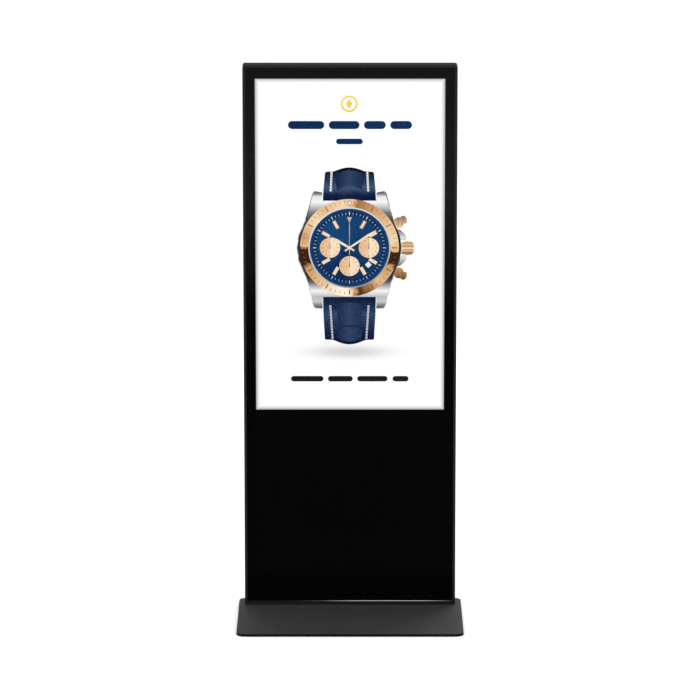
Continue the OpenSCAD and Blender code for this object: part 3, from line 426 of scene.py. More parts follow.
    @staticmethod
    def ring(name: str, centre: Sequence[float], inner: float, outer: float, depth: float,
             vertices: int = 64) -> bpy.types.Object:
        """Flat ring round an axis along Y, from its front face at the centre's y.

        Args:
            name: Name of the piece.
            centre: Centre of its front face.
            inner: Inner radius.
            outer: Outer radius.
            depth: Thickness along y.
            vertices: Steps round it.

        Returns:
            The ring.
        """
        profile = [(inner, 0), (outer, 0), (outer, depth), (inner, depth)]
        return Bench.turned(name, centre, profile, vertices, closed=True)

    @staticmethod
    def copy(source: bpy.types.Object, name: str, place: Matrix) -> bpy.types.Object:
        """Copy of a piece, with its own mesh, moved by a matrix.

        Args:
            source: The piece to copy.
            name: Name of the copy.
            place: Where the copy goes, from where the piece is.

        Returns:
            The copy.
        """
        Bench.pick(source)
        bpy.ops.object.duplicate()
        obj = bpy.context.object
        obj.matrix_world = place @ obj.matrix_world
        return Bench.settle(obj, name)

    @staticmethod
    def joined(name: str, pieces: Sequence[bpy.types.Object]) -> bpy.types.Object:
        """Joins pieces into one object.

        Args:
            name: Name of the result.
            pieces: The pieces, of which the last gives its materials first.

        Returns:
            The joined object.
        """
        Bench.pick(*pieces)
        if len(pieces) > 1:
            bpy.ops.object.join()
        obj = bpy.context.object
        obj.name = name
        obj.data.name = name
        return obj

    @staticmethod
    def from_node(node: str, name: str, width: float, segments: int = 2, degrees: float = 40.0,
                  edge: bpy.types.Material | None = None) -> bpy.types.Object:
        """Copy of a frame node, its points merged and its edges rounded.

        Args:
            node: The frame node.
            name: Name of the copy.
            width: Width of the edge rounding, or 0 for none.
            segments: Steps across the rounding.
            degrees: Edges sharper than this are rounded.
            edge: Material of the rounded edges, or None for the piece's own.

        Returns:
            The copy, not yet riding on a body.
        """
        Bench.pick(frame["nodes"][node])
        bpy.ops.object.duplicate()
        obj = bpy.context.object
        bpy.ops.object.parent_clear(type="CLEAR_KEEP_TRANSFORM")
        for key in list(obj.keys()):
            del obj[key]
        obj.data.materials.clear()
        Bench.edit(obj)
        bpy.ops.mesh.remove_doubles(threshold=1e-6)
        bpy.ops.mesh.dissolve_limited(angle_limit=math.radians(0.5))
        bpy.ops.object.mode_set(mode="OBJECT")
        Bench.settle(obj, name)
        slot = -1
        if edge is not None:
            obj.data.materials.append(edge)
            obj.data.materials.append(edge)
            slot = 1
        if not width:
            return Bench.smooth(obj)
        return Bench.bevelled(obj, width, segments, degrees, slot)

    @staticmethod
    def carry(obj: bpy.types.Object, body: Body, slot: str, material: bpy.types.Material,
              replaced: Sequence[str] = ()) -> bpy.types.Object:
        """Gives a finished piece its material, its body and the nodes it stands for.

        Args:
            obj: The finished piece.
            body: The body that it rides on.
            slot: The record's material slot; not used.
            material: Its main material.
            replaced: Frame nodes that it stands for.

        Returns:
            The same object.
        """
        if obj.data.materials:
            obj.data.materials[0] = material
        else:
            obj.data.materials.append(material)
        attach(obj, body.value)
        if replaced:
            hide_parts(*replaced)
        log.info("%s: %d faces", obj.name, len(obj.data.polygons))
        return obj


class Groups:
    """Shader node groups shared by the finishes, each built once."""

    @staticmethod
    def _new(name: str, inputs: dict[str, str], outputs: dict[str, str]) -> tuple:
        """Starts a group with its sockets.

        Args:
            name: Name of the group.
            inputs: Socket names and types going in.
            outputs: Socket names and types coming out.

        Returns:
            The group, its input node and its output node.
        """
        group = bpy.data.node_groups.new(name, "ShaderNodeTree")
        for key, kind in inputs.items():
            group.interface.new_socket(key, in_out="INPUT", socket_type=kind)
        for key, kind in outputs.items():
            group.interface.new_socket(key, in_out="OUTPUT", socket_type=kind)
        return group, group.nodes.new("NodeGroupInput"), group.nodes.new("NodeGroupOutput")

    @staticmethod
    def math(group: bpy.types.NodeTree, operation: str, first: object, second: object,
             clamp: bool = False) -> bpy.types.NodeSocket:
        """Adds one sum to a node tree.

        Args:
            group: The node tree.
            operation: The Math node's operation.
            first: A socket or a number.
            second: A socket or a number.
            clamp: Whether the result is kept from 0 to 1.

        Returns:
            The result's socket.
        """
        node = group.nodes.new("ShaderNodeMath")
        node.operation = operation
        node.use_clamp = clamp
        for index, value in enumerate((first, second)):
            if isinstance(value, bpy.types.NodeSocket):
                group.links.new(value, node.inputs[index])
            elif value is not None:
                node.inputs[index].default_value = value
        return node.outputs[0]

    @staticmethod
    def noise(group: bpy.types.NodeTree, vector: bpy.types.NodeSocket, scale: object,
              detail: float = 2.0) -> bpy.types.NodeSocket:
        """Adds a noise texture to a node tree.

        Args:
            group: The node tree.
            vector: Where it is read.
            scale: A socket or a number.
            detail: Its detail.

        Returns:
            The noise's value, from 0 to 1.
        """
        node = group.nodes.new("ShaderNodeTexNoise")
        node.inputs["Detail"].default_value = detail
        group.links.new(vector, node.inputs["Vector"])
        if isinstance(scale, bpy.types.NodeSocket):
            group.links.new(scale, node.inputs["Scale"])
        else:
            node.inputs["Scale"].default_value = scale
        return node.outputs["Fac"]

    @classmethod
    def grain(cls) -> bpy.types.NodeTree:
        """Fine grain: the height of small cells and a slow change of tone.

        Returns:
            The group, with Vector and Scale going in, and Height and Tone coming out.
        """
        if "Fine grain" in bpy.data.node_groups:
            return bpy.data.node_groups["Fine grain"]
        group, start, end = cls._new(
            "Fine grain", {"Vector": "NodeSocketVector", "Scale": "NodeSocketFloat"},
            {"Height": "NodeSocketFloat", "Tone": "NodeSocketFloat"})
        fine = cls.noise(group, start.outputs["Vector"], start.outputs["Scale"], 3.0)
        cells = group.nodes.new("ShaderNodeTexVoronoi")
        group.links.new(start.outputs["Vector"], cells.inputs["Vector"])
        group.links.new(cls.math(group, "MULTIPLY", start.outputs["Scale"], 0.6), cells.inputs["Scale"])
        height = cls.math(group, "ADD", cls.math(group, "MULTIPLY", fine, 0.6),
                          cls.math(group, "MULTIPLY", cells.outputs["Distance"], 0.4))
        slow = cls.noise(group, start.outputs["Vector"],
                         cls.math(group, "MULTIPLY", start.outputs["Scale"], 0.012), 4.0)
        tone = cls.math(group, "ADD", cls.math(group, "MULTIPLY", slow, 0.7),
                        cls.math(group, "MULTIPLY", fine, 0.3), clamp=True)
        group.links.new(height, end.inputs["Height"])
        group.links.new(tone, end.inputs["Tone"])
        return group

    @classmethod
    def dust(cls) -> bpy.types.NodeTree:
        """Settled dust: a patchy mask that is stronger on faces that look up.

        Returns:
            The group, with Vector and Amount going in, and Mask coming out.
        """
        if "Settled dust" in bpy.data.node_groups:
            return bpy.data.node_groups["Settled dust"]
        group, start, end = cls._new(
            "Settled dust", {"Vector": "NodeSocketVector", "Amount": "NodeSocketFloat"},
            {"Mask": "NodeSocketFloat"})
        specks = cls.noise(group, start.outputs["Vector"], 420.0, 4.0)
        patches = cls.noise(group, start.outputs["Vector"], 6.0, 3.0)
        where = group.nodes.new("ShaderNodeNewGeometry")
        normal = group.nodes.new("ShaderNodeSeparateXYZ")
        group.links.new(where.outputs["Normal"], normal.inputs[0])
        up = cls.math(group, "ADD", cls.math(group, "MULTIPLY", normal.outputs["Z"], 0.7), 0.3, clamp=True)
        mask = cls.math(group, "MULTIPLY", cls.math(group, "MULTIPLY", specks, patches), up)
        group.links.new(cls.math(group, "MULTIPLY", mask, start.outputs["Amount"], clamp=True),
                        end.inputs["Mask"])
        return group

    @classmethod
    def directions(cls) -> bpy.types.NodeTree:
        """Ways across an upright picture, from its own centre.

        Returns:
            The group, with Vector going in, and Across, Up, Round and Out coming out. Across and Up
            are metres, Round goes from 0 to 1 anticlockwise from three o'clock, and Out is metres.
        """
        if "Picture directions" in bpy.data.node_groups:
            return bpy.data.node_groups["Picture directions"]
        group, start, end = cls._new(
            "Picture directions", {"Vector": "NodeSocketVector"},
            {side.value: "NodeSocketFloat" for side in Sweep})
        split = group.nodes.new("ShaderNodeSeparateXYZ")
        group.links.new(start.outputs["Vector"], split.inputs[0])
        across, up = split.outputs["X"], split.outputs["Z"]
        angle = cls.math(group, "ARCTAN2", up, across)
        turn = cls.math(group, "FRACT", cls.math(group, "DIVIDE", angle, 2 * math.pi), None)
        square = cls.math(group, "ADD", cls.math(group, "MULTIPLY", across, across),
                          cls.math(group, "MULTIPLY", up, up))
        group.links.new(across, end.inputs[Sweep.ACROSS.value])
        group.links.new(up, end.inputs[Sweep.UP.value])
        group.links.new(turn, end.inputs[Sweep.ROUND.value])
        group.links.new(cls.math(group, "SQRT", square, None), end.inputs[Sweep.OUT.value])
        return group


made_materials: dict[str, bpy.types.Material] = {}


def start_material(name: str) -> tuple:
    """Starts a material with a Principled shader, and keeps it for pieces that share it.

    Args:
        name: Name of the material.

    Returns:
        The material, its node tree and its shader.
    """
    material = bpy.data.materials.new(f"{name}_finish")
    made_materials[name] = material
    material.use_nodes = True
    tree = material.node_tree
    return material, tree, tree.nodes["Principled BSDF"]


def place_vector(tree: bpy.types.NodeTree, shift: Sequence[float] = (0, 0, 0),
                 stretch: Sequence[float] = (1, 1, 1)) -> bpy.types.NodeSocket:
    """Adds object coordinates with a shift and a stretch.

    Args:
        tree: The material's node tree.
        shift: Point that becomes the pattern's centre, in metres.
        stretch: Scale along each axis.

    Returns:
        The vector's socket.
    """
    where = tree.nodes.new("ShaderNodeTexCoord")
    mapping = tree.nodes.new("ShaderNodeMapping")
    mapping.inputs["Location"].default_value = tuple(-s * k for s, k in zip(shift, stretch))
    mapping.inputs["Scale"].default_value = stretch
    tree.links.new(where.outputs["Object"], mapping.inputs["Vector"])
    return mapping.outputs["Vector"]


def ramp(tree: bpy.types.NodeTree, value: bpy.types.NodeSocket,
         stops: Sequence[tuple[float, Colour]]) -> bpy.types.NodeSocket:
    """Adds a colour ramp.

    Args:
        tree: The node tree.
        value: What drives it, from 0 to 1.
        stops: Places and colours along it.

    Returns:
        The colour's socket.
    """
    node = tree.nodes.new("ShaderNodeValToRGB")
    elements = node.color_ramp.elements
    while len(elements) < len(stops):
        elements.new(0.5)
    for element, (place, colour) in zip(elements, stops):
        element.position = place
        element.color = (*colour, 1.0)
    tree.links.new(value, node.inputs["Fac"])
    return node.outputs["Color"]


def spread(tree: bpy.types.NodeTree, value: bpy.types.NodeSocket, low: float, high: float,
           to_low: float = 0.0, to_high: float = 1.0) -> bpy.types.NodeSocket:
    """Adds a clamped change of range.

    Args:
        tree: The node tree.
        value: What goes in.
        low: Value that becomes to_low.
        high: Value that becomes to_high.
        to_low: First value out.
        to_high: Last value out.

    Returns:
        The result's socket.
    """
    node = tree.nodes.new("ShaderNodeMapRange")
    for key, number in (("From Min", low), ("From Max", high), ("To Min", to_low), ("To Max", to_high)):
        node.inputs[key].default_value = number
    tree.links.new(value, node.inputs["Value"])
    return node.outputs["Result"]


def blended(tree: bpy.types.NodeTree, factor: bpy.types.NodeSocket, first: object,
            second: object) -> bpy.types.NodeSocket:
    """Adds a mix of two colours.

    Args:
        tree: The node tree.
        factor: Share of the second colour.
        first: A socket or a colour.
        second: A socket or a colour.

    Returns:
        The mixed colour's socket.
    """
    node = tree.nodes.new("ShaderNodeMix")
    node.data_type = "RGBA"
    tree.links.new(factor, node.inputs[0])
    for index, value in ((6, first), (7, second)):
        if isinstance(value, bpy.types.NodeSocket):
            tree.links.new(value, node.inputs[index])
        else:
            node.inputs[index].default_value = (*value, 1.0)
    return node.outputs[2]


@dataclass(frozen=True)
class Finish:
    """Surface of a solid piece: its colour, gloss, grain and dust."""

    name: str
    colour: Colour
    roughness: float
    specular: float = 0.5
    metallic: float = 0.0
    shade: float = 0.8
    rough_change: float = 0.12
    grain: float = 900.0
    depth: float = 0.00003
    stretch: tuple[float, float, float] = (1.0, 1.0, 1.0)
    dust: float = 0.0
    coat: float = 0.0

    def make(self) -> bpy.types.Material:
        """Builds the material, or finds it if it is there.

        Returns:
            The material.
        """
        if self.name in made_materials:
            return made_materials[self.name]
        material, tree, shader = start_material(self.name)
        where = place_vector(tree, stretch=self.stretch)
        grain = tree.nodes.new("ShaderNodeGroup")
        grain.node_tree = Groups.grain()
        grain.inputs["Scale"].default_value = self.grain
        tree.links.new(where, grain.inputs["Vector"])
        deep = tuple(c * self.shade for c in self.colour)
        tone = spread(tree, grain.outputs["Tone"], 0.3, 0.7)
        colour = blended(tree, tone, deep, self.colour)
        if self.dust:
            dust = tree.nodes.new("ShaderNodeGroup")
            dust.node_tree = Groups.dust()
            dust.inputs["Amount"].default_value = self.dust
            tree.links.new(where, dust.inputs["Vector"])
            colour = blended(tree, dust.outputs["Mask"], colour, (0.3, 0.29, 0.27))
        tree.links.new(colour, shader.inputs["Base Color"])
        rough = spread(tree, grain.outputs["Tone"], 0.2, 0.8, self.roughness,
                       min(1.0, self.roughness + self.rough_change))
        tree.links.new(rough, shader.inputs["Roughness"])
        bump = tree.nodes.new("ShaderNodeBump")
        bump.inputs["Distance"].default_value = self.depth
        bump.inputs["Strength"].default_value = 1.0
        tree.links.new(grain.outputs["Height"], bump.inputs["Height"])
        tree.links.new(bump.outputs["Normal"], shader.inputs["Normal"])
        shader.inputs["Metallic"].default_value = self.metallic
        shader.inputs["Specular IOR Level"].default_value = self.specular
        shader.inputs["Coat Weight"].default_value = self.coat
        return material


@dataclass(frozen=True)
class Clear:
    """Glass or clear film, with faint smears on its surface."""

    name: str
    colour: Colour = (1.0, 1.0, 1.0)
    specular: float = 0.2
    ior: float = 1.06

    def make(self) -> bpy.types.Material:
        """Builds the material, or finds it if it is there.

        Returns:
            The material.
        """
        if self.name in made_materials:
            return made_materials[self.name]
        material, tree, shader = start_material(self.name)
        where = place_vector(tree)
        smear = Groups.noise(tree, where, 7.0, 5.0)
        tree.links.new(spread(tree, smear, 0.55, 0.9, 0.0, 0.02), shader.inputs["Roughness"])
        shader.inputs["Base Color"].default_value = (*self.colour, 1.0)
        shader.inputs["Transmission Weight"].default_value = 1.0
        shader.inputs["IOR"].default_value = self.ior
        shader.inputs["Specular IOR Level"].default_value = self.specular
        return material


@dataclass(frozen=True)
class Lit:
    """Part of the picture on the display: it gives its own light and reflects none."""

    name: str
    stops: tuple[tuple[float, Colour], ...]
    sweep: Sweep = Sweep.UP
    centre: tuple[float, float, float] = (0.0, 0.0, 0.0)
    start: float = -1.0
    end: float = 1.0
    mottle: float = 0.0
    mottle_scale: float = 160.0

    def make(self) -> bpy.types.Material:
        """Builds the material, or finds it if it is there.

        Returns:
            The material.
        """
        if self.name in made_materials:
            return made_materials[self.name]
        material, tree, shader = start_material(self.name)
        where = place_vector(tree, self.centre)
        ways = tree.nodes.new("ShaderNodeGroup")
        ways.node_tree = Groups.directions()
        tree.links.new(where, ways.inputs["Vector"])
        along = spread(tree, ways.outputs[self.sweep.value], self.start, self.end)
        if self.mottle:
            cloud = spread(tree, Groups.noise(tree, where, self.mottle_scale, 3.0), 0.2, 0.8,
                           -self.mottle, self.mottle)
            along = Groups.math(tree, "ADD", along, cloud, clamp=True)
        tree.links.new(ramp(tree, along, self.stops), shader.inputs["Emission Color"])
        self.unlit(shader)
        return material

    @staticmethod
    def unlit(shader: bpy.types.Node) -> None:
        """Makes a shader give light and reflect none.

        Args:
            shader: The material's shader node.
        """
        shader.inputs["Base Color"].default_value = (0.0, 0.0, 0.0, 1.0)
        shader.inputs["Specular IOR Level"].default_value = 0.0
        shader.inputs["Roughness"].default_value = 1.0
        shader.inputs["Emission Strength"].default_value = 1.0


FRAME_BLACK = Finish("frame_black", (0.0085, 0.0085, 0.009), 0.38, 0.16, grain=2600, depth=0.000008,
                     shade=0.85, rough_change=0.08)
# Painted highlight: a lighter, glossier copy of the frame black for the rails' rounded edges.
FRAME_EDGE_PAINTED_HIGHLIGHT = Finish("frame_black_edge_painted_highlight", (0.022, 0.022, 0.023), 0.3, 0.35, grain=1500, depth=0.000008,
                    shade=0.7)
BASE_COAT = Finish("base_coat", (0.031, 0.031, 0.032), 0.6, 0.12, grain=1500, depth=0.00003,
                   shade=0.82, dust=0.05)
# Painted shade: a darker copy of the base coat for the plate's rounded edges.
BASE_EDGE_PAINTED_SHADE = Finish("base_coat_edge_painted_shade", (0.012, 0.012, 0.0125), 0.5, 0.16, grain=1200, depth=0.00002,
                   shade=0.7)
# Painted shade: a much darker copy of the base coat for the plate's upright faces.
BASE_RIM_PAINTED_SHADE = Finish("base_coat_rim_painted_shade", (0.0035, 0.0035, 0.0036), 0.6, 0.06, grain=1500, depth=0.00002,
                  shade=0.7)
# Painted shade: a darker, duller copy of the frame black for the rails' upward faces.
RAIL_TOP_PAINTED_SHADE = Finish("frame_black_top_painted_shade", (0.006, 0.006, 0.0062), 0.6, 0.03, grain=1500, depth=0.000008,
                  shade=0.8)
COVER_COAT = Finish("cover_coat", (0.018, 0.018, 0.019), 0.5, 0.3, grain=1800, depth=0.00003,
                    shade=0.8, dust=0.06)
# Painted highlight: a lighter, glossier copy of the cover coat for rounded edges.
COVER_EDGE_PAINTED_HIGHLIGHT = Finish("cover_coat_edge_painted_highlight", (0.05, 0.05, 0.052), 0.4, 0.4, grain=1200, depth=0.00002,
                    shade=0.7)
RUBBER = Finish("pad_rubber", (0.012, 0.012, 0.012), 0.75, 0.3, grain=700, depth=0.00004)
ZINC = Finish("zinc_steel", (0.62, 0.63, 0.66), 0.26, 0.5, 1.0, shade=0.72, grain=1400,
              stretch=(1.0, 1.0, 6.0))
DARK_ZINC = Finish("cover_screw_steel", (0.16, 0.16, 0.165), 0.3, 0.5, 1.0, shade=0.6, grain=1600)
GALVANISED = Finish("galvanised_sheet", (0.3, 0.31, 0.315), 0.34, 0.5, 1.0, shade=0.72, grain=260,
                    depth=0.00001, rough_change=0.2)
FOAM = Finish("foam_tape", (0.015, 0.015, 0.015), 0.9, 0.2, grain=1500, depth=0.0002)
BOARD = Finish("board_green", (0.015, 0.13, 0.06), 0.35, 0.5, grain=1200, shade=0.7)
CABLE = Finish("cable_black", (0.014, 0.014, 0.014), 0.45, 0.4, grain=900)
CABLE_GREY = Finish("cable_grey", (0.42, 0.42, 0.44), 0.5, 0.4, grain=900)
MODULE = Finish("module_black", (0.02, 0.02, 0.021), 0.45, 0.3, grain=1600)
CELL = Finish("lit_cell", (0.8, 0.8, 0.8), 0.6, 0.1, grain=900)
DIFFUSER = Finish("diffuser_white", (0.86, 0.86, 0.84), 0.7, 0.3, grain=900)
STRIP = Finish("strip_white", (0.82, 0.81, 0.74), 0.5, grain=900)
TIN = Finish("board_cover", (0.52, 0.53, 0.55), 0.3, 0.5, 1.0, shade=0.75, grain=700)
CHROME = Finish("lock_chrome", (0.36, 0.36, 0.38), 0.18, 0.5, 1.0, shade=0.9, grain=900,
                depth=0.000004, rough_change=0.08)
MOULDED = Finish("black_plastic", (0.014, 0.014, 0.015), 0.42, 0.35, grain=2400, depth=0.00002)
CONTACT = Finish("contact_brass", (0.66, 0.6, 0.44), 0.22, 0.5, 1.0, grain=1200)
ROCKER_RED = Finish("rocker_red", (0.36, 0.012, 0.012), 0.28, 0.5, grain=900, depth=0.00001, coat=0.3)
SUPPLY = Finish("supply_steel", (0.4, 0.41, 0.42), 0.32, 0.5, 1.0, shade=0.8, grain=700,
                stretch=(8.0, 1.0, 1.0))
PLAYER = Finish("player_shell", (0.02, 0.02, 0.023), 0.34, 0.5, 0.4, grain=1800, dust=0.04)
SOCKET = Finish("socket_steel", (0.36, 0.36, 0.37), 0.3, 0.5, 1.0, grain=1200)
SILVER = Finish("button_silver", (0.55, 0.55, 0.57), 0.22, 0.5, 0.8, grain=1200)
CONE = Finish("cone_paper", (0.02, 0.02, 0.021), 0.85, 0.3, grain=600, depth=0.0002)
FRONT_GLASS = Clear("clear_glass")
TOUCH_FILM = Clear("clear_film", specular=0.0, ior=1.01)

NODE_FINISHES: dict[str, Finish | Clear] = {
    "base_pads": RUBBER, "base_bolts": ZINC, "base_nuts": ZINC, "corner_screws": ZINC,
    "corner_brackets": GALVANISED, "touch_film": TOUCH_FILM, "glass_tape": FOAM,
    "touch_controller": BOARD, "touch_cable": CABLE, "display_foam": FOAM, "display_bezel": MODULE,
    "display_cell": CELL, "diffuser_sheets": DIFFUSER, "backlight_strips": STRIP,
    "display_pan": GALVANISED, "display_screws": ZINC, "timing_board": TIN,
    "display_cable": CABLE_GREY, "upright_left": GALVANISED, "upright_right": GALVANISED,
    "crossbar_upper": GALVANISED, "crossbar_lower": GALVANISED, "cover_rail": GALVANISED,
    "equipment_plate": GALVANISED, "frame_ties": GALVANISED, "structure_screws": ZINC,
    "hinge_pins": ZINC, "lock_nut": ZINC, "inlet_pins": CONTACT, "power_lead": CABLE,
    "power_supply": SUPPLY, "player_sockets": SOCKET, "speaker_baskets": MOULDED,
    "speaker_cones": CONE,
}


def wide(node: str) -> tuple[Vector, Vector]:
    """Lowest and highest corner of a frame node, in metres."""
    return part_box(node)


@dataclass
class Stage:
    """Floor, light and camera."""

    floor_half: float = 40.0
    camera_distance: float = 14.993
    camera_height: float = 4.103
    camera_tilt: float = 11.83
    lens: float = 217.9

    def build(self) -> None:
        """Makes the floor, the lights and the camera."""
        self.floor()
        self.lights()
        self.camera()

    def floor(self) -> None:
        """Pale plain floor, in squares so that its light can vary over it."""
        Bench.clear()
        bpy.ops.mesh.primitive_grid_add(x_subdivisions=16, y_subdivisions=16,
                                        size=2 * self.floor_half, location=(0, 0, 0))
        floor = Bench.settle(bpy.context.object, "floor")
        finish = Finish("floor_white", (0.97, 0.97, 0.97), 0.9, 0.1, shade=0.995, grain=40,
                        depth=0.00001)
        floor.data.materials.append(finish.make())

    def lights(self) -> None:
        """Even white surroundings with two large soft lights."""
        world = bpy.data.worlds.new("studio")
        bpy.context.scene.world = world
        world.use_nodes = True
        back = world.node_tree.nodes["Background"]
        back.inputs["Color"].default_value = (1.0, 1.0, 1.0, 1.0)
        back.inputs["Strength"].default_value = 1.12
        for name, place, size, power in (
            ("key", (-3.2, -3.4, 4.4), 2.2, 90.0),
            ("rear", (2.8, 4.2, 3.6), 2.4, 110.0),
        ):
            lamp = bpy.data.lights.new(name, "AREA")
            lamp.size = size
            lamp.energy = power
            light = bpy.data.objects.new(name, lamp)
            bpy.context.scene.collection.objects.link(light)
            light.location = place
            aim = Vector((0, 0.18, 1.0)) - Vector(place)
            light.rotation_euler = aim.to_track_quat("-Z", "Y").to_euler()

    def camera(self) -> None:
        """Long lens, far off and a little above, aimed slightly down."""
        lens = bpy.data.cameras.new("camera")
        lens.lens = self.lens
        lens.sensor_width = 36.0
        lens.clip_end = 200.0
        camera = bpy.data.objects.new("camera", lens)
        bpy.context.scene.collection.objects.link(camera)
        front = wide("frame_left")[0].y
        camera.location = (0.0, front - self.camera_distance, self.camera_height)
        camera.rotation_euler = (math.radians(90.0 - self.camera_tilt), 0.0, 0.0)
        bpy.context.scene.camera = camera
        bpy.context.scene.view_settings.view_transform = "Standard"


@dataclass
class Cabinet:
    """Outer shell: base plate, frame rails and glass front."""

    rail_round: float = 0.0012
    plate_round: float = 0.0014
    glass_round: float = 0.0004
    bead_height: float = 0.0022
    bead_rise: float = 0.0011

    def build(self) -> None:
        """Makes the shell's visible pieces."""
        self.base()
        self.rails()
        self.glass()
        self.trim()

    def base(self) -> None:
        """Floor plate with its edges broken; its rounded edges and upright faces are darker as painted shade.
        """
        plate = Bench.from_node("base_plate", "floor_plate", self.plate_round, 3, 50.0,
                                BASE_EDGE_PAINTED_SHADE.make())
        # Painted shade: the upright faces take the much darker rim colour.
        Bench.paint(plate, BASE_RIM_PAINTED_SHADE.make(), lambda centre, normal: abs(normal.z) < 0.5)
        Bench.carry(plate, Body.CABINET, "base_coat", BASE_COAT.make(), ["base_plate"])

    def rails(self) -> None:
        """Four mitred rails with rounded outer edges, lighter there as a painted highlight and darker on
        their upward faces as painted shade.
        """
        for side in ("left", "right", "top", "bottom"):
            rail = Bench.from_node(f"frame_{side}", f"rail_{side}", self.rail_round, 3, 50.0,
                                   FRAME_EDGE_PAINTED_HIGHLIGHT.make())
            # Painted shade on the upward faces; the rounded edges carry the painted highlight.
            Bench.paint(rail, RAIL_TOP_PAINTED_SHADE.make(), lambda centre, normal: normal.z > 0.7)
            Bench.carry(rail, Body.CABINET, "frame_black", FRAME_BLACK.make(), [f"frame_{side}"])

    def glass(self) -> None:
        """Clear front glass and the black print behind it."""
        glass = Bench.from_node("front_glass", "glass_panel", self.glass_round, 2)
        Bench.carry(glass, Body.CABINET, "clear_glass", FRONT_GLASS.make(), ["front_glass"])
        frame["nodes"]["black_border"].data.materials.clear()
        frame["nodes"]["black_border"].data.materials.append(self.print_material_with_painted_reflection())

    def print_material_with_painted_reflection(self) -> bpy.types.Material:
        """Black print, made greyer high up as a painted reflection and glowing with its own colour as painted
        light, with the fine screen of a printed layer.

        Returns:
            The material.
        """
        material, tree, shader = start_material("border_print")
        where = place_vector(tree)
        ways = tree.nodes.new("ShaderNodeGroup")
        ways.node_tree = Groups.directions()
        tree.links.new(where, ways.inputs["Vector"])
        # Painted reflection: the colour ramp over height makes the print greyer high up.
        height = spread(tree, ways.outputs[Sweep.UP.value], 0.6, 2.0)
        fine = Groups.noise(tree, where, 1800.0, 2.0)
        height = Groups.math(tree, "ADD", height, spread(tree, fine, 0.3, 0.7, -0.03, 0.03), clamp=True)
        colour = ramp(tree, height, (
            (0.0, (0.0012,) * 3), (0.36, (0.0014,) * 3), (0.52, (0.0062,) * 3), (0.66, (0.0112,) * 3),
            (0.84, (0.0085,) * 3), (1.0, (0.0078,) * 3)))
        tree.links.new(colour, shader.inputs["Base Color"])
        # Painted light: the print glows with its own colour, standing in for light that reaches it through
        # the glass.
        tree.links.new(colour, shader.inputs["Emission Color"])
        shader.inputs["Emission Strength"].default_value = 1.0
        shader.inputs["Roughness"].default_value = 0.6
        shader.inputs["Specular IOR Level"].default_value = 0.02
        return material

    def trim(self) -> None:
        """Half-round bead along the glass's lower edge, with a painted highlight in its colour."""
        low, _ = wide("front_glass")
        front = wide("frame_left")[0].y
        half = abs(low.x) - 0.004
        foot = low.z - 0.4 * self.bead_height
        turns = [math.pi * k / 8 for k in range(9)]
        section = [(self.bead_rise * math.sin(turn), self.bead_height * (1 - math.cos(turn)) / 2)
                   for turn in turns]
        corners = [Vector((-half, front + 0.0002 - out, foot + up)) for out, up in section]
        bead = Bench.smooth(Bench.pushed("lower_bead", corners, (2 * half, 0, 0)), 50.0)
        material, tree, shader = start_material("bead_aluminium_painted_highlight")
        ways = tree.nodes.new("ShaderNodeGroup")
        ways.node_tree = Groups.directions()
        tree.links.new(place_vector(tree), ways.inputs["Vector"])
        along = spread(tree, ways.outputs[Sweep.ACROSS.value], -half, half)
        lines = Groups.noise(tree, place_vector(tree, stretch=(20, 1, 1)), 900.0, 2.0)
        along = Groups.math(tree, "ADD", along, spread(tree, lines, 0.3, 0.7, -0.02, 0.02), clamp=True)
        # Painted highlight: the colour is dark at the left end and bright from the middle to near the right
        # end.
        tree.links.new(ramp(tree, along, (
            (0.0, (0.004,) * 3), (0.24, (0.008,) * 3), (0.36, (0.12,) * 3), (0.52, (0.8,) * 3),
            (0.84, (0.85,) * 3), (0.97, (0.25,) * 3), (1.0, (0.05,) * 3))), shader.inputs["Base Color"])
        shader.inputs["Metallic"].default_value = 0.75
        shader.inputs["Roughness"].default_value = 0.4
        Bench.carry(bead, Body.CABINET, "galvanised_sheet", material)


def dress_nodes() -> None:
    """Gives every frame node that stays on show its finish."""
    for node, finish in NODE_FINISHES.items():
        materials = frame["nodes"][node].data.materials
        materials.clear()
        materials.append(finish.make())
        log.info("%s: %s", node, finish.name)


ROSE_WHITE: Colour = (1.0, 0.9, 0.7)
ROSE_LIGHT: Colour = (0.93, 0.68, 0.42)
ROSE_PALE: Colour = (0.8, 0.5, 0.27)
ROSE: Colour = (0.6, 0.32, 0.14)
ROSE_DEEP: Colour = (0.34, 0.16, 0.06)
ROSE_DARK: Colour = (0.05, 0.014, 0.004)
STEEL_LIGHT: Colour = (0.93, 0.93, 0.94)
STEEL_DARK: Colour = (0.03, 0.03, 0.032)


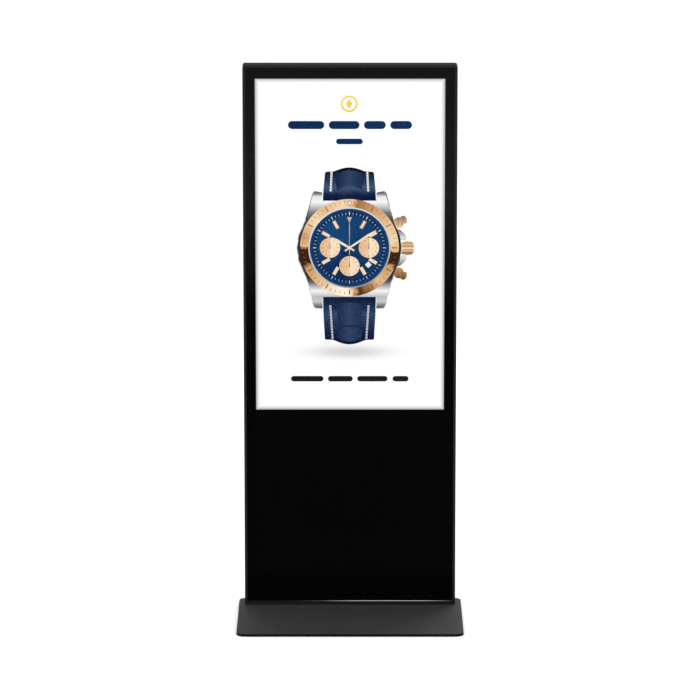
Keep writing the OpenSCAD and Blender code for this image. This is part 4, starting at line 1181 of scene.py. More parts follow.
@dataclass
class Picture:
    """What the display shows: a plain ornament, plain bars and a wristwatch, in thin lit layers."""

    half_w: float = 0.3402
    half_h: float = 0.6048
    layer: float = 0.00009
    watch_x: float = -0.002
    watch_z: float = -0.009
    bezel_r: float = 0.178
    glass_r: float = 0.148
    dial_r: float = 0.143
    counter_r: float = 0.0366
    rim_grow: float = 1.016
    counter_off: float = 0.070
    face: float = field(init=False)
    centre_z: float = field(init=False)
    made: list = field(init=False, default_factory=list)

    def __post_init__(self) -> None:
        """Takes the picture's place from the display cell."""
        low, high = wide("display_cell")
        self.face = low.y
        self.centre_z = (low.z + high.z) / 2

    def depth(self, level: int) -> tuple[float, float]:
        """Front and rear depth of a layer.

        Args:
            level: 1 for the layer on the cell, more for those in front of it.

        Returns:
            The front and rear depth, as y.
        """
        rear = self.face - 0.00001 - (level - 1) * self.layer
        return rear - 0.8 * self.layer, rear

    def shape(self, name: str, outline: Outline, level: int, x: float = 0.0,
              z: float = 0.0) -> bpy.types.Object:
        """Thin solid of an outline given in millimetres from a point of the picture.

        Args:
            name: Name of the piece.
            outline: Its corners in millimetres.
            level: The layer it lies in.
            x: The point's place across, in metres from the picture's centre.
            z: The point's height, in metres from the picture's centre.

        Returns:
            The piece.
        """
        near, far = self.depth(level)
        corners = [(x + a * MM, self.centre_z + z + b * MM) for a, b in outline]
        return Bench.prism(name, corners, near, far)

    def bar(self, name: str, left: float, right: float, low: float, high: float, level: int,
            x: float = 0.0, z: float = 0.0) -> bpy.types.Object:
        """Bar with round ends, in millimetres from a point of the picture.

        Args:
            name: Name of the piece.
            left: Its left end.
            right: Its right end.
            low: Its lower edge.
            high: Its upper edge.
            level: The layer it lies in.
            x: The point's place across, in metres.
            z: The point's height over the picture's middle, in metres.

        Returns:
            The bar.
        """
        r = (high - low) / 2
        outline = []
        for step in range(9):
            turn = math.radians(90 + 180 * step / 8)
            outline.append((left + r + r * math.cos(turn), low + r + r * math.sin(turn)))
        for step in range(9):
            turn = math.radians(-90 + 180 * step / 8)
            outline.append((right - r + r * math.cos(turn), low + r + r * math.sin(turn)))
        return self.shape(name, outline, level, x, z)

    def round(self, name: str, radius: float, level: int, x: float, z: float,
              steps: int = 48) -> bpy.types.Object:
        """Thin disc, its radius in metres."""
        near, far = self.depth(level)
        return Bench.disc(name, (x, (near + far) / 2, self.centre_z + z), radius, far - near,
                          vertices=steps)

    def band(self, name: str, inner: float, outer: float, level: int, x: float, z: float,
             steps: int = 72) -> bpy.types.Object:
        """Thin ring, its radii in metres."""
        near, far = self.depth(level)
        return Bench.ring(name, (x, near, self.centre_z + z), inner, outer, far - near, steps)

    def keep(self, obj: bpy.types.Object, material: bpy.types.Material) -> bpy.types.Object:
        """Finishes one piece of the picture."""
        self.made.append(obj)
        return Bench.carry(obj, Body.CABINET, "lit_cell", material)

    def around(self, source: bpy.types.Object, name: str, turns: Sequence[float],
               keep_first: bool = True) -> bpy.types.Object:
        """Copies a piece round the watch's centre and joins the copies.

        Args:
            source: The piece, as it stands at twelve o'clock.
            name: Name of the joined result.
            turns: Clockwise angles in degrees, one for each copy.
            keep_first: Whether the piece itself stays in the result.

        Returns:
            The joined piece.
        """
        centre = Vector((self.watch_x, 0, self.centre_z + self.watch_z))
        copies = []
        for turn in turns:
            place = (Matrix.Translation(centre) @ Matrix.Rotation(math.radians(turn), 4, "Y")
                     @ Matrix.Translation(-centre))
            copies.append(Bench.copy(source, name, place))
        if keep_first:
            copies.append(source)
        else:
            Bench.pick(source)
            bpy.ops.object.delete()
        return Bench.joined(name, copies)

    def build(self) -> None:
        """Makes the whole picture."""
        self.ground()
        self.heading()
        self.strap()
        self.case()
        self.dial()
        self.counters()
        self.hands()

    def ground(self) -> None:
        """White ground, darkened near its edges as painted shade of the window's reveal, and with the
        picture's own soft shadow under the watch.
        """
        near, far = self.depth(1)
        ground = Bench.box("picture_ground",
                           (-self.half_w - 0.005, near, self.centre_z - self.half_h - 0.005),
                           (self.half_w + 0.005, far, self.centre_z + self.half_h + 0.005), 0.00002, 1)
        material, tree, shader = start_material("picture_white_painted_edge_shade")
        where = place_vector(tree, (0, 0, self.centre_z))
        split = tree.nodes.new("ShaderNodeSeparateXYZ")
        tree.links.new(where, split.inputs[0])
        from_x = Groups.math(tree, "ABSOLUTE", split.outputs[0], None)
        away_x = Groups.math(tree, "SUBTRACT", self.half_w, from_x)
        from_z = Groups.math(tree, "ABSOLUTE", split.outputs[2], None)
        away_z = Groups.math(tree, "SUBTRACT", self.half_h, from_z)
        # Painted shade: the ground darkens within 16 mm of its edges, standing in for shade from the window's
        # reveal.
        edge = ramp(tree, spread(tree, Groups.math(tree, "MINIMUM", away_x, away_z), 0.0, 0.016), (
            (0.0, (0.42,) * 3), (0.2, (0.55,) * 3), (0.45, (0.76,) * 3), (0.72, (0.92,) * 3),
            (1.0, (1.0,) * 3)))
        under = place_vector(tree, (-0.002, 0, self.centre_z - 0.391), (1 / 0.215, 1.0, 1 / 0.036))
        ways = tree.nodes.new("ShaderNodeGroup")
        ways.node_tree = Groups.directions()
        tree.links.new(under, ways.inputs["Vector"])
        shadow = ramp(tree, spread(tree, ways.outputs[Sweep.OUT.value], 0.0, 1.0), (
            (0.0, (0.66,) * 3), (0.35, (0.74,) * 3), (0.7, (0.91,) * 3), (1.0, (1.0,) * 3)))
        mix = tree.nodes.new("ShaderNodeMix")
        mix.data_type = "RGBA"
        mix.blend_type = "MULTIPLY"
        mix.inputs[0].default_value = 1.0
        tree.links.new(edge, mix.inputs[6])
        tree.links.new(shadow, mix.inputs[7])
        tree.links.new(mix.outputs[2], shader.inputs["Emission Color"])
        Lit.unlit(shader)
        self.keep(ground, material)

    def heading(self) -> None:
        """Gold ornament, navy bars in place of a heading and black bars in place of a caption."""
        gold = Lit("picture_gold", ((0.0, (0.93, 0.55, 0.06)), (1.0, (1.0, 0.72, 0.12))), Sweep.UP,
                   (0, 0, self.centre_z + 0.514), -0.04, 0.04).make()
        ring = self.band("ornament_ring", 0.0235, 0.030, 2, -0.003, 0.514)
        petals = self.shape("ornament_diamond", [(0, 17), (12, 0), (0, -17), (-12, 0)], 2, -0.003, 0.514)
        self.keep(Bench.joined("picture_ornament", [ring, petals]), gold)
        navy = Lit("picture_navy", ((0.0, (0.004, 0.024, 0.09)), (1.0, (0.006, 0.03, 0.11))),
                   Sweep.ACROSS, (0, 0, 0), -0.3, 0.3).make()
        bars = [self.bar("heading", left, right, 423, 452, 2) for left, right in
                ((-222, -92), (-76, 34), (50, 128), (144, 222))]
        bars.append(self.bar("heading", -50, 46, 368, 388, 2))
        self.keep(Bench.joined("picture_heading", bars), navy)
        ink = Lit("picture_ink", ((0.0, (0.008,) * 3), (1.0, (0.014,) * 3)), Sweep.ACROSS,
                  (0, 0, 0), -0.3, 0.3).make()
        bars = [self.bar("caption", left, right, -501, -481, 2) for left, right in
                ((-214, -96), (-80, 10), (26, 136), (154, 212))]
        self.keep(Bench.joined("picture_caption", bars), ink)

    def strap(self) -> None:
        """Leather strap above and below the case, with its padded middle and stitches."""
        x, z = self.watch_x, self.watch_z
        arc = [(-55 + 110 * k / 10, 279 + 14 * math.sin(math.pi * k / 10)) for k in range(11)]
        upper = self.shape("strap", [(-95.5, 168), (-94, 205), (-88, 272), (-84, 277), *arc,
                                     (84, 277), (88, 272), (94, 205), (95.5, 168)], 2, x, z)
        arc = [(60 - 120 * k / 10, -338 - 17 * math.sin(math.pi * k / 10)) for k in range(11)]
        lower = self.shape("strap", [(95.5, -176), (94, -240), (89, -334), (85, -338), *arc,
                                     (-85, -338), (-89, -334), (-94, -240), (-95.5, -176)], 2, x, z)
        leather = Lit("picture_leather", (
            (0.0, (0.002, 0.004, 0.014)), (0.25, (0.006, 0.014, 0.05)), (0.5, (0.016, 0.036, 0.1)),
            (0.62, (0.03, 0.065, 0.15)), (0.75, (0.012, 0.028, 0.085)), (1.0, (0.003, 0.008, 0.03))),
            Sweep.UP, (x, 0, self.centre_z + z - 0.235), -0.13, 0.06, 0.05, 60.0).make()
        self.keep(upper, Lit("picture_leather_upper", (
            (0.0, (0.002, 0.006, 0.03)), (0.18, (0.006, 0.016, 0.06)), (0.4, (0.05, 0.09, 0.17)),
            (0.62, (0.018, 0.036, 0.09)), (0.85, (0.006, 0.012, 0.035)), (1.0, (0.001, 0.002, 0.006))),
            Sweep.UP, (x, 0, self.centre_z + z), 0.172, 0.292, 0.04, 60.0).make())
        self.keep(lower, leather)
        pads = []
        for outline in (
            [(-44, 212), (-14, 224), (0, 226), (14, 224), (44, 212), (50, 246), (44, 272), (20, 280),
             (0, 283), (-20, 280), (-44, 272), (-50, 246)],
            [(-40, -206), (0, -200), (40, -206), (44, -262), (26, -280), (0, -284), (-26, -280),
             (-44, -262)],
            [(-46, -296), (0, -290), (46, -296), (44, -330), (20, -342), (0, -345), (-20, -342),
             (-44, -330)],
        ):
            pads.append(self.shape("strap_pad", outline, 3, x, z))
        self.keep(Bench.joined("picture_strap_pads", pads), Lit("picture_leather_pad", (
            (0.0, (0.004, 0.01, 0.035)), (0.5, (0.028, 0.055, 0.125)), (1.0, (0.008, 0.018, 0.055))),
            Sweep.ACROSS, (x, 0, 0), -0.06, 0.06, 0.1, 90.0).make())
        stitches = []
        half_t, step, length = 3.6, 10.4, 8.8
        for side in (-1, 1):
            for k in range(7):
                low = 206 + step * k
                a = 67.5 - 3.5 * k / 7
                stitches.append(self.shape("stitch", [
                    (side * (a - half_t), low), (side * (a + half_t), low),
                    (side * (a + half_t - 0.6), low + length),
                    (side * (a - half_t - 0.6), low + length)], 4, x, z))
            for k in range(12):
                high = -211 - step * k
                a = 69 - 8 * k / 12
                stitches.append(self.shape("stitch", [
                    (side * (a - half_t - 0.6), high - length), (side * (a + half_t - 0.6), high - length),
                    (side * (a + half_t), high), (side * (a - half_t), high)], 4, x, z))
        self.keep(Bench.joined("picture_stitches", stitches), Lit(
            "picture_thread", ((0.0, (0.5, 0.5, 0.5)), (1.0, (0.86, 0.86, 0.86))), Sweep.UP,
            (0, 0, self.centre_z), -0.35, 0.3, 0.2, 300.0).make())

    def case(self) -> None:
        """Steel case with its lugs, the crown, two pushers and the bezel."""
        x, z = self.watch_x, self.watch_z
        right = [(97, 199), (124, 204), (131, 196), (142, 152), (158, 97), (181, 46), (187, 0),
                 (181, -46), (158, -100), (140, -160), (130, -211), (123, -220), (97, -222)]
        left = [(-a, b) for a, b in reversed(right)]
        inner_top = [(-97, 172), (97, 172)]
        outline = right + [(97, -180), (-97, -180)] + left + inner_top
        body = self.shape("watch_case", outline, 3, x, z)
        self.keep(body, Lit("picture_steel", (
            (0.0, STEEL_DARK), (0.035, (0.3, 0.3, 0.31)), (0.06, (0.6, 0.6, 0.62)), (0.1, (0.5, 0.5, 0.52)),
            (0.15, STEEL_LIGHT), (0.19, (0.45, 0.45, 0.46)), (0.225, (0.12, 0.12, 0.125)),
            (0.26, (0.03, 0.03, 0.032)), (0.7, (0.02, 0.02, 0.022)), (0.76, (0.05, 0.05, 0.052)),
            (0.82, (0.2, 0.2, 0.205)), (0.865, (0.55, 0.55, 0.56)), (0.91, STEEL_LIGHT),
            (0.955, (0.8, 0.8, 0.81)), (0.975, (0.25, 0.25, 0.26)), (1.0, STEEL_DARK)),
            Sweep.UP, (x, 0, self.centre_z + z), -0.222, 0.206).make())
        rim = self.shape("picture_case_rim", [(a * self.rim_grow, b * self.rim_grow) for a, b in outline],
                         1, x, z)
        self.keep(rim, Lit("picture_rim_steel", ((0.0, (0.05,) * 3), (0.5, (0.012,) * 3),
                                                 (1.0, (0.05,) * 3)),
                           Sweep.UP, (x, 0, self.centre_z + z), -0.2, 0.2).make())
        rose = Lit("picture_rose", (
            (0.0, ROSE_PALE), (0.03, ROSE_LIGHT), (0.1, ROSE_PALE), (0.17, ROSE), (0.225, ROSE_DEEP),
            (0.237, ROSE_PALE), (0.28, ROSE_LIGHT), (0.34, ROSE_PALE), (0.4, ROSE_LIGHT), (0.46, ROSE),
            (0.496, ROSE_PALE), (0.503, ROSE_DARK), (0.556, ROSE_DARK), (0.572, ROSE), (0.64, ROSE_PALE),
            (0.71, ROSE_WHITE), (0.745, ROSE_WHITE), (0.768, ROSE), (0.782, ROSE_DARK), (0.82, ROSE_DEEP),
            (0.87, ROSE_PALE), (0.93, ROSE), (0.943, ROSE_DARK), (0.986, ROSE_DARK), (0.992, ROSE_PALE),
            (1.0, ROSE_PALE)),
            Sweep.ROUND, (x, 0, self.centre_z + z), 0.0, 1.0, 0.015, 40.0).make()
        bezel = self.band("picture_bezel", self.glass_r, self.bezel_r, 4, x, z, 96)
        self.keep(bezel, rose)
        rim = self.band("picture_bezel_rim", self.dial_r, self.glass_r, 5, x, z, 96)
        self.keep(rim, Lit("picture_rim", ((0.0, (0.5,) * 3), (0.2, (0.12,) * 3), (0.35, (0.3,) * 3),
                                           (0.55, (0.62,) * 3), (0.7, (0.8,) * 3), (0.9, (0.3,) * 3),
                                           (1.0, (0.5,) * 3)),
                           Sweep.ROUND, (x, 0, self.centre_z + z)).make())
        stud = self.round("picture_bezel_stud", 0.0085, 6, x, z + 0.163, 24)
        self.keep(stud, Lit("picture_stud", ((0.0, (0.95,) * 3), (0.6, (0.62,) * 3), (1.0, (0.3,) * 3)),
                            Sweep.OUT, (x, 0, self.centre_z + z + 0.163), 0.0, 0.0085).make())
        guards = [self.shape("crown_guard", [
            (168, 68 * sign), (182, 66 * sign), (196, 54 * sign), (206, 40 * sign), (203, 28 * sign),
            (192, 27 * sign), (184, 34 * sign)], 2, x, z) for sign in (1, -1)]
        self.keep(Bench.joined("picture_crown_guards", guards), Lit("picture_guard_steel", (
            (0.0, (0.06,) * 3), (0.25, (0.7,) * 3), (0.45, (0.04,) * 3), (0.55, (0.04,) * 3),
            (0.75, (0.75,) * 3), (1.0, (0.08,) * 3)), Sweep.UP, (x, 0, self.centre_z + z),
            -0.07, 0.07).make())
        tick = self.shape("bezel_tick", [(-2, 153), (2, 153), (2, 172), (-2, 172)], 5, x, z)
        minor = self.shape("bezel_tick", [(-0.9, 162), (0.9, 162), (0.9, 172), (-0.9, 172)], 5, x, z)
        ticks = Bench.joined("picture_bezel_ticks", [
            self.around(tick, "bezel_ticks", range(30, 360, 30)),
            self.around(minor, "bezel_ticks", [t for t in range(6, 360, 6) if t % 30])])
        self.keep(ticks, Lit("picture_engraving", ((0.0, (0.2, 0.09, 0.03)), (1.0, (0.32, 0.16, 0.06))),
                             Sweep.UP, (x, 0, self.centre_z + z), -0.18, 0.18).make())
        crown = [(186, 20), (206, 24), (226, 22), (232, 14), (233, 0), (232, -14), (226, -24),
                 (206, -26), (186, -22)]
        self.keep(self.shape("picture_crown", crown, 3, x, z), self.rose_bar("picture_crown_rose", 0.0))
        ridges = [self.shape("crown_ridge", [(192, b), (228, b), (228, b + 2.4), (192, b + 2.4)], 4, x, z)
                  for b in (-17, -8, 5, 14)]
        pushers = []
        for sign in (1, -1):
            pushers.append(self.shape("pusher", [
                (150, 84 * sign), (162, 104 * sign), (170, 111 * sign), (183, 112 * sign),
                (190, 117 * sign), (200, 116 * sign), (206, 106 * sign), (207, 94 * sign),
                (203, 88 * sign), (196, 88 * sign), (188, 74 * sign), (178, 71 * sign),
                (160, 76 * sign)], 2, x, z))
            for near, far in ((172, 177), (187, 193)):
                ridges.append(self.shape("pusher_ridge", [
                    (near, 80 * sign), (near + 2.4, 80 * sign), (far + 2.4, 110 * sign),
                    (far, 110 * sign)], 4, x, z))
        self.keep(Bench.joined("picture_pushers", pushers), self.rose_bar("picture_pusher_rose", 0.0, 0.12))
        self.keep(Bench.joined("picture_ridges", ridges), Lit(
            "picture_groove", ((0.0, (0.16, 0.06, 0.02)), (1.0, (0.3, 0.14, 0.06))), Sweep.UP,
            (x, 0, self.centre_z + z), -0.13, 0.13).make())

    def rose_bar(self, name: str, z: float, reach: float = 0.026) -> bpy.types.Material:
        """Rose gold of a turned piece lit from one side.

        Args:
            name: Name of the material.
            z: Height of its middle above the watch's centre.
            reach: Half its height.

        Returns:
            The material.
        """
        return Lit(name, ((0.0, (0.12, 0.04, 0.01)), (0.2, ROSE), (0.45, (0.95, 0.75, 0.52)),
                          (0.6, (0.66, 0.38, 0.18)), (0.8, (0.9, 0.62, 0.38)), (1.0, (0.25, 0.1, 0.04))),
                   Sweep.UP, (0, 0, self.centre_z + self.watch_z + z), -reach, reach).make()

    def dial(self) -> None:
        """Blue dial with its minute track and gold batons."""
        x, z = self.watch_x, self.watch_z
        dial = self.round("picture_dial", self.dial_r, 5, x, z, 96)
        self.keep(dial, Lit("picture_dial_blue", (
            (0.0, (0.006, 0.05, 0.15)), (0.2, (0.004, 0.024, 0.09)), (0.5, (0.006, 0.04, 0.13)),
            (0.7, (0.008, 0.06, 0.19)), (0.85, (0.004, 0.022, 0.085)), (1.0, (0.006, 0.05, 0.15))),
            Sweep.ROUND, (x, 0, self.centre_z + z)).make())
        chapter = self.band("picture_chapter_ring", 0.119, 0.142, 6, x, z, 96)
        self.keep(chapter, Lit(
            "picture_chapter_blue", ((0.0, (0.004, 0.02, 0.075)), (1.0, (0.008, 0.05, 0.16))),
            Sweep.OUT, (x, 0, self.centre_z + z), 0.119, 0.142).make())
        minute = self.shape("minute", [(-0.7, 121), (0.7, 121), (0.7, 128), (-0.7, 128)], 7, x, z)
        five = self.shape("minute", [(-1.5, 120), (1.5, 120), (1.5, 131), (-1.5, 131)], 7, x, z)
        track = Bench.joined("picture_minutes", [
            self.around(minute, "minutes", [t for t in range(6, 360, 6) if t % 30]),
            self.around(five, "minutes", range(30, 360, 30))])
        self.keep(track, Lit("picture_minute_white", ((0.0, (0.45, 0.52, 0.62)), (1.0, (0.75, 0.8, 0.86))),
                             Sweep.UP, (x, 0, self.centre_z + z), -0.14, 0.14).make())
        baton = self.shape("baton", [(-6, 82), (6, 82), (6, 113), (-6, 113)], 7, x, z)
        batons = self.around(baton, "picture_batons", [30, 60, 120, 150, 210, 240, 300, 330], False)
        self.keep(batons, self.gold_ramp("picture_baton_gold"))
        inlay = self.shape("inlay", [(-2.2, 85), (2.2, 85), (2.2, 110), (-2.2, 110)], 8, x, z)
        inlays = self.around(inlay, "picture_inlays", [30, 60, 120, 150, 210, 240, 300, 330], False)
        self.keep(inlays, Lit("picture_inlay", ((0.0, (0.85, 0.7, 0.5)), (1.0, (0.98, 0.9, 0.76))),
                              Sweep.UP, (x, 0, self.centre_z + z), -0.12, 0.12).make())
        window = self.shape("picture_date_window", [(56, -62), (68, -50), (80, -62), (68, -74)], 7, x, z)
        self.keep(window, Lit("picture_window", ((0.0, (0.75,) * 3), (1.0, (0.92,) * 3)), Sweep.UP,
                              (x, 0, self.centre_z + z), -0.08, -0.05).make())
        mark = self.shape("picture_twelve_mark", [(-9, 112), (9, 112), (0, 92)], 7, x, z)
        self.keep(mark, self.gold_ramp("picture_baton_gold"))

    def gold_ramp(self, name: str) -> bpy.types.Material:
        """Pale gold that changes round the dial.

        Args:
            name: Name of the material.

        Returns:
            The material.
        """
        return Lit(name, ((0.0, (0.93, 0.68, 0.42)), (0.2, (0.75, 0.45, 0.22)), (0.4, (0.96, 0.76, 0.52)),
                          (0.6, (0.68, 0.4, 0.2)), (0.8, (0.93, 0.7, 0.46)), (1.0, (0.93, 0.68, 0.42))),
                   Sweep.ROUND, (self.watch_x, 0, self.centre_z + self.watch_z)).make()

    def counters(self) -> None:
        """Three pale gold counters with their own tracks and small hands."""
        for name, dx, dz in (("left", -self.counter_off, 0.0), ("right", self.counter_off, 0.0),
                             ("lower", 0.0, -self.counter_off + 0.003)):
            x, z = self.watch_x + dx, self.watch_z + dz
            disc = self.round(f"picture_counter_{name}", self.counter_r, 7, x, z)
            self.keep(disc, Lit(f"picture_counter_{name}_gold", (
                (0.0, (0.94, 0.74, 0.51)), (0.245, (0.96, 0.78, 0.56)), (0.255, (0.85, 0.57, 0.34)),
                (0.5, (0.8, 0.5, 0.28)), (0.745, (0.87, 0.6, 0.37)), (0.755, (0.96, 0.77, 0.55)),
                (1.0, (0.93, 0.73, 0.5))),
                Sweep.ROUND, (x, 0, self.centre_z + z), 0.0, 1.0).make())
            pieces = []
            for turn in range(0, 360, 30):
                s, c = math.sin(math.radians(turn)), math.cos(math.radians(turn))
                outline = [(s * r - c * w, c * r + s * w) for r, w in
                           ((26, -0.8), (26, 0.8), (33, 0.8), (33, -0.8))]
                pieces.append(self.shape("counter_tick", outline, 8, x, z))
            pieces.append(self.shape("counter_hand", [(-1.6, -4), (1.6, -4), (0.7, 22), (-0.7, 22)], 8, x, z))
            self.keep(Bench.joined(f"picture_counter_{name}_marks", pieces), Lit(
                "picture_counter_ink", ((0.0, (0.12, 0.07, 0.04)), (1.0, (0.2, 0.12, 0.07))),
                Sweep.UP, (0, 0, self.centre_z), -0.1, 0.1).make())

    def hand(self, name: str, turn: float, length: float, width: float, tail: float,
             level: int) -> bpy.types.Object:
        """Tapered hand of the watch.

        Args:
            name: Name of the piece.
            turn: Clockwise angle from twelve o'clock, in degrees.
            length: Its reach, in millimetres.
            width: Its widest half width, in millimetres.
            tail: Its length behind the centre, in millimetres.
            level: The layer it lies in.

        Returns:
            The hand.
        """
        s, c = math.sin(math.radians(turn)), math.cos(math.radians(turn))
        outline = [(-tail, width * 0.7), (0, width * 0.6), (length * 0.7, width), (length, 0.5),
                   (length, -0.5), (length * 0.7, -width), (0, -width * 0.6), (-tail, -width * 0.7)]
        corners = [(s * r + c * w, c * r - s * w) for r, w in outline]
        return self.shape(name, corners, level, self.watch_x, self.watch_z)

    def hands(self) -> None:
        """Hour, minute and thin centre hands on their hub."""
        hour = self.hand("picture_hour_hand", 301, 76, 5.0, 20, 9)
        minute = self.hand("picture_minute_hand", 56, 116, 4.6, 20, 10)
        centre = self.hand("picture_centre_hand", 0, 104, 1.4, 26, 11)
        pale = Lit("picture_hand_gold", ((0.0, (0.72, 0.44, 0.22)), (0.4, (0.98, 0.86, 0.68)),
                                         (0.6, (0.9, 0.66, 0.42)), (1.0, (1.0, 0.92, 0.78))),
                   Sweep.UP, (self.watch_x, 0, self.centre_z + self.watch_z), -0.03, 0.075).make()
        self.keep(hour, pale)
        self.keep(minute, pale)
        self.keep(centre, self.gold_ramp("picture_baton_gold"))
        hub = self.round("picture_hub", 0.0062, 12, self.watch_x, self.watch_z, 24)
        self.keep(hub, pale)


@dataclass
class Rear:
    """Rear covers, service door, hinges and lock."""

    sheet_round: float = 0.0003
    key_depth: float = 0.0018
    leaf_t: float = 0.0015
    leaf_screw_in: float = 0.009
    leaf_screw_z: float = 0.014
    hinge_half: float = 0.025

    def build(self) -> None:
        """Makes the rear's visible pieces."""
        for node, name, body in (
            ("rear_cover_upper", "cover_upper", Body.CABINET),
            ("rear_cover_lower", "cover_lower", Body.CABINET),
            ("door_frame", "door_surround", Body.CABINET),
            ("service_door", "door_leaf", Body.DOOR),
            ("inlet_tray", "inlet_recess", Body.CABINET),
            ("door_hinge_leaves", "hinge_leaves_door", Body.DOOR),
            ("cover_hinge_leaves", "hinge_leaves_cover", Body.CABINET),
        ):
            # Painted highlight: rounded edges take the lighter cover edge colour.
            piece = Bench.from_node(node, name, self.sheet_round, 2, 50.0, COVER_EDGE_PAINTED_HIGHLIGHT.make())
            Bench.carry(piece, body, "cover_coat", COVER_COAT.make(), [node])
        screws = Bench.from_node("cover_screws", "cross_screws", 0.0005, 2, 50.0)
        Bench.carry(screws, Body.CABINET, "cover_screw_steel", DARK_ZINC.make(), ["cover_screws"])
        self.lock()
        self.hinge_screws()
        for node, body, slot, finish in (
            ("power_inlet", Body.CABINET, "black_plastic", MOULDED),
            ("switch_housing", Body.CABINET, "black_plastic", MOULDED),
            ("fan_frames", Body.CABINET, "black_plastic", MOULDED),
            ("fan_guards", Body.CABINET, "zinc_steel", ZINC),
            ("media_player", Body.CABINET, "player_shell", PLAYER),
            ("power_button", Body.BUTTON, "button_silver", SILVER),
        ):
            piece = Bench.from_node(node, f"{node}_finished", 0.00025, 2, 50.0)
            Bench.carry(piece, body, slot, finish.make(), [node])

    def lock(self) -> None:
        """Turned barrel, and the plug with its keyway."""
        barrel = Bench.from_node("lock_barrel", "lock_barrel_turned", 0.0003, 2, 50.0)
        Bench.carry(barrel, Body.DOOR, "lock_chrome", CHROME.make(), ["lock_barrel"])
        low, high = wide("lock_barrel")
        x, z = (low.x + high.x) / 2, (low.z + high.z) / 2
        plug = Bench.from_node("lock_plug", "lock_plug_turned", 0.0003, 2, 50.0)
        face = wide("lock_plug")[1].y
        for half_x, half_z in ((0.0006, 0.0040), (0.0013, 0.0012)):
            plug = Bench.cut(plug, Bench.box("keyway", (x - half_x, face - self.key_depth, z - half_z),
                                             (x + half_x, face + 0.001, z + half_z)))
        Bench.carry(plug, Body.LOCK, "lock_chrome", CHROME.make(), ["lock_plug"])

    def hinge_screws(self) -> None:
        """Screw heads on both leaves of each hinge."""
        for node, name, body, side in (
            ("door_hinge_leaves", "door_leaf_screws", Body.DOOR, 1),
            ("cover_hinge_leaves", "cover_leaf_screws", Body.CABINET, -1),
        ):
            low, high = wide(node)
            edge = high.x if side > 0 else low.x
            places = [(edge - side * self.leaf_screw_in, low.y + self.leaf_t, end + step)
                      for end in (low.z + self.hinge_half, high.z - self.hinge_half)
                      for step in (-self.leaf_screw_z, self.leaf_screw_z)]
            heads = Bench.cross_heads(name, places, 0.003, 0.0012)
            Bench.carry(heads, body, "cover_screw_steel", DARK_ZINC.make())


@dataclass
class Fans:
    """The two cabinet fans' rotors, each with a turned hub and curved blades."""

    blades: int = 7
    root_r: float = 0.0152
    tip_x: float = 0.0352
    chord: float = 0.0088
    pitch: float = 47.0
    twist: float = 3.5
    steps: int = 4
    wall: float = 0.0012
    seat_to_hub: float = 0.0025

    def build(self) -> None:
        """Makes the left rotor and copies it to the right."""
        low, high = wide("fan_frames")
        half = (high.z - low.z) / 2
        centre = Vector((low.x + half, high.y - self.seat_to_hub, (low.z + high.z) / 2))
        rotor = self.rotor(centre)
        other = Bench.copy(rotor, "rotor_right", Matrix.Translation((-2 * centre.x, 0, 0)))
        for obj, body, node in ((rotor, Body.FAN_LEFT, "fan_rotor_left"),
                                (other, Body.FAN_RIGHT, "fan_rotor_right")):
            Bench.carry(obj, body, "black_plastic", MOULDED.make(), [node])
        disc = Bench.turned("hub_disc_left", centre, [
            (0, 0.0003), (0.0098, 0.0003), (0.0102, 0.0002), (0.0102, 0), (0, 0)], 40)
        twin = Bench.copy(disc, "hub_disc_right", Matrix.Translation((-2 * centre.x, 0, 0)))
        for obj, body in ((disc, Body.FAN_LEFT), (twin, Body.FAN_RIGHT)):
            Bench.carry(obj, body, "supply_steel", SUPPLY.make())

    def rotor(self, centre: Vector) -> bpy.types.Object:
        """One rotor.

        Args:
            centre: Middle of the hub's outer face.

        Returns:
            The joined hub and blades.
        """
        hub = Bench.turned("rotor_left", centre, [
            (0, 0), (0.011, 0), (0.0142, -0.0006), (0.016, -0.0026), (0.016, -0.0175),
            (0.0154, -0.018), (0.002, -0.018), (0.002, -0.0221), (0, -0.0221)], 48)
        blade = self.blade(centre + Vector((0, -0.009, 0)))
        pieces = []
        for count in range(1, self.blades):
            turn = (Matrix.Translation(centre) @ Matrix.Rotation(2 * math.pi * count / self.blades, 4, "Y")
                    @ Matrix.Translation(-centre))
            pieces.append(Bench.copy(blade, "blade", turn))
        return Bench.joined("rotor_left", pieces + [blade, hub])

    def blade(self, middle: Vector) -> bpy.types.Object:
        """One cambered blade, twisted from its root to its tip.

        Args:
            middle: Point on the axis level with the blade's middle.

        Returns:
            The blade.
        """
        tilt = math.radians(self.pitch)
        line = []
        for count in range(7):
            t = count / 3 - 1
            camber = 0.0011 * (1 - t * t)
            deep = self.chord * t * math.sin(tilt) + camber * math.cos(tilt)
            along = self.chord * t * math.cos(tilt) - camber * math.sin(tilt)
            line.append(middle + Vector((self.root_r, deep, along)))
        obj = Bench.trace(line)
        bpy.ops.mesh.select_all(action="SELECT")
        stride = (self.tip_x - self.root_r) / self.steps
        for count in range(1, self.steps + 1):
            bpy.ops.mesh.extrude_region_move(TRANSFORM_OT_translate={"value": (stride, 0, 0)})
            bpy.ops.transform.rotate(
                value=math.radians(self.twist), orient_axis="X",
                center_override=middle + Vector((self.root_r + count * stride, 0, 0)))
        bpy.ops.object.mode_set(mode="OBJECT")
        thick = obj.modifiers.new("wall", "SOLIDIFY")
        thick.thickness = self.wall
        thick.offset = 0.0
        bpy.ops.object.modifier_apply(modifier=thick.name)
        Bench.outward(obj)
        return Bench.smooth(Bench.settle(obj, "blade"))


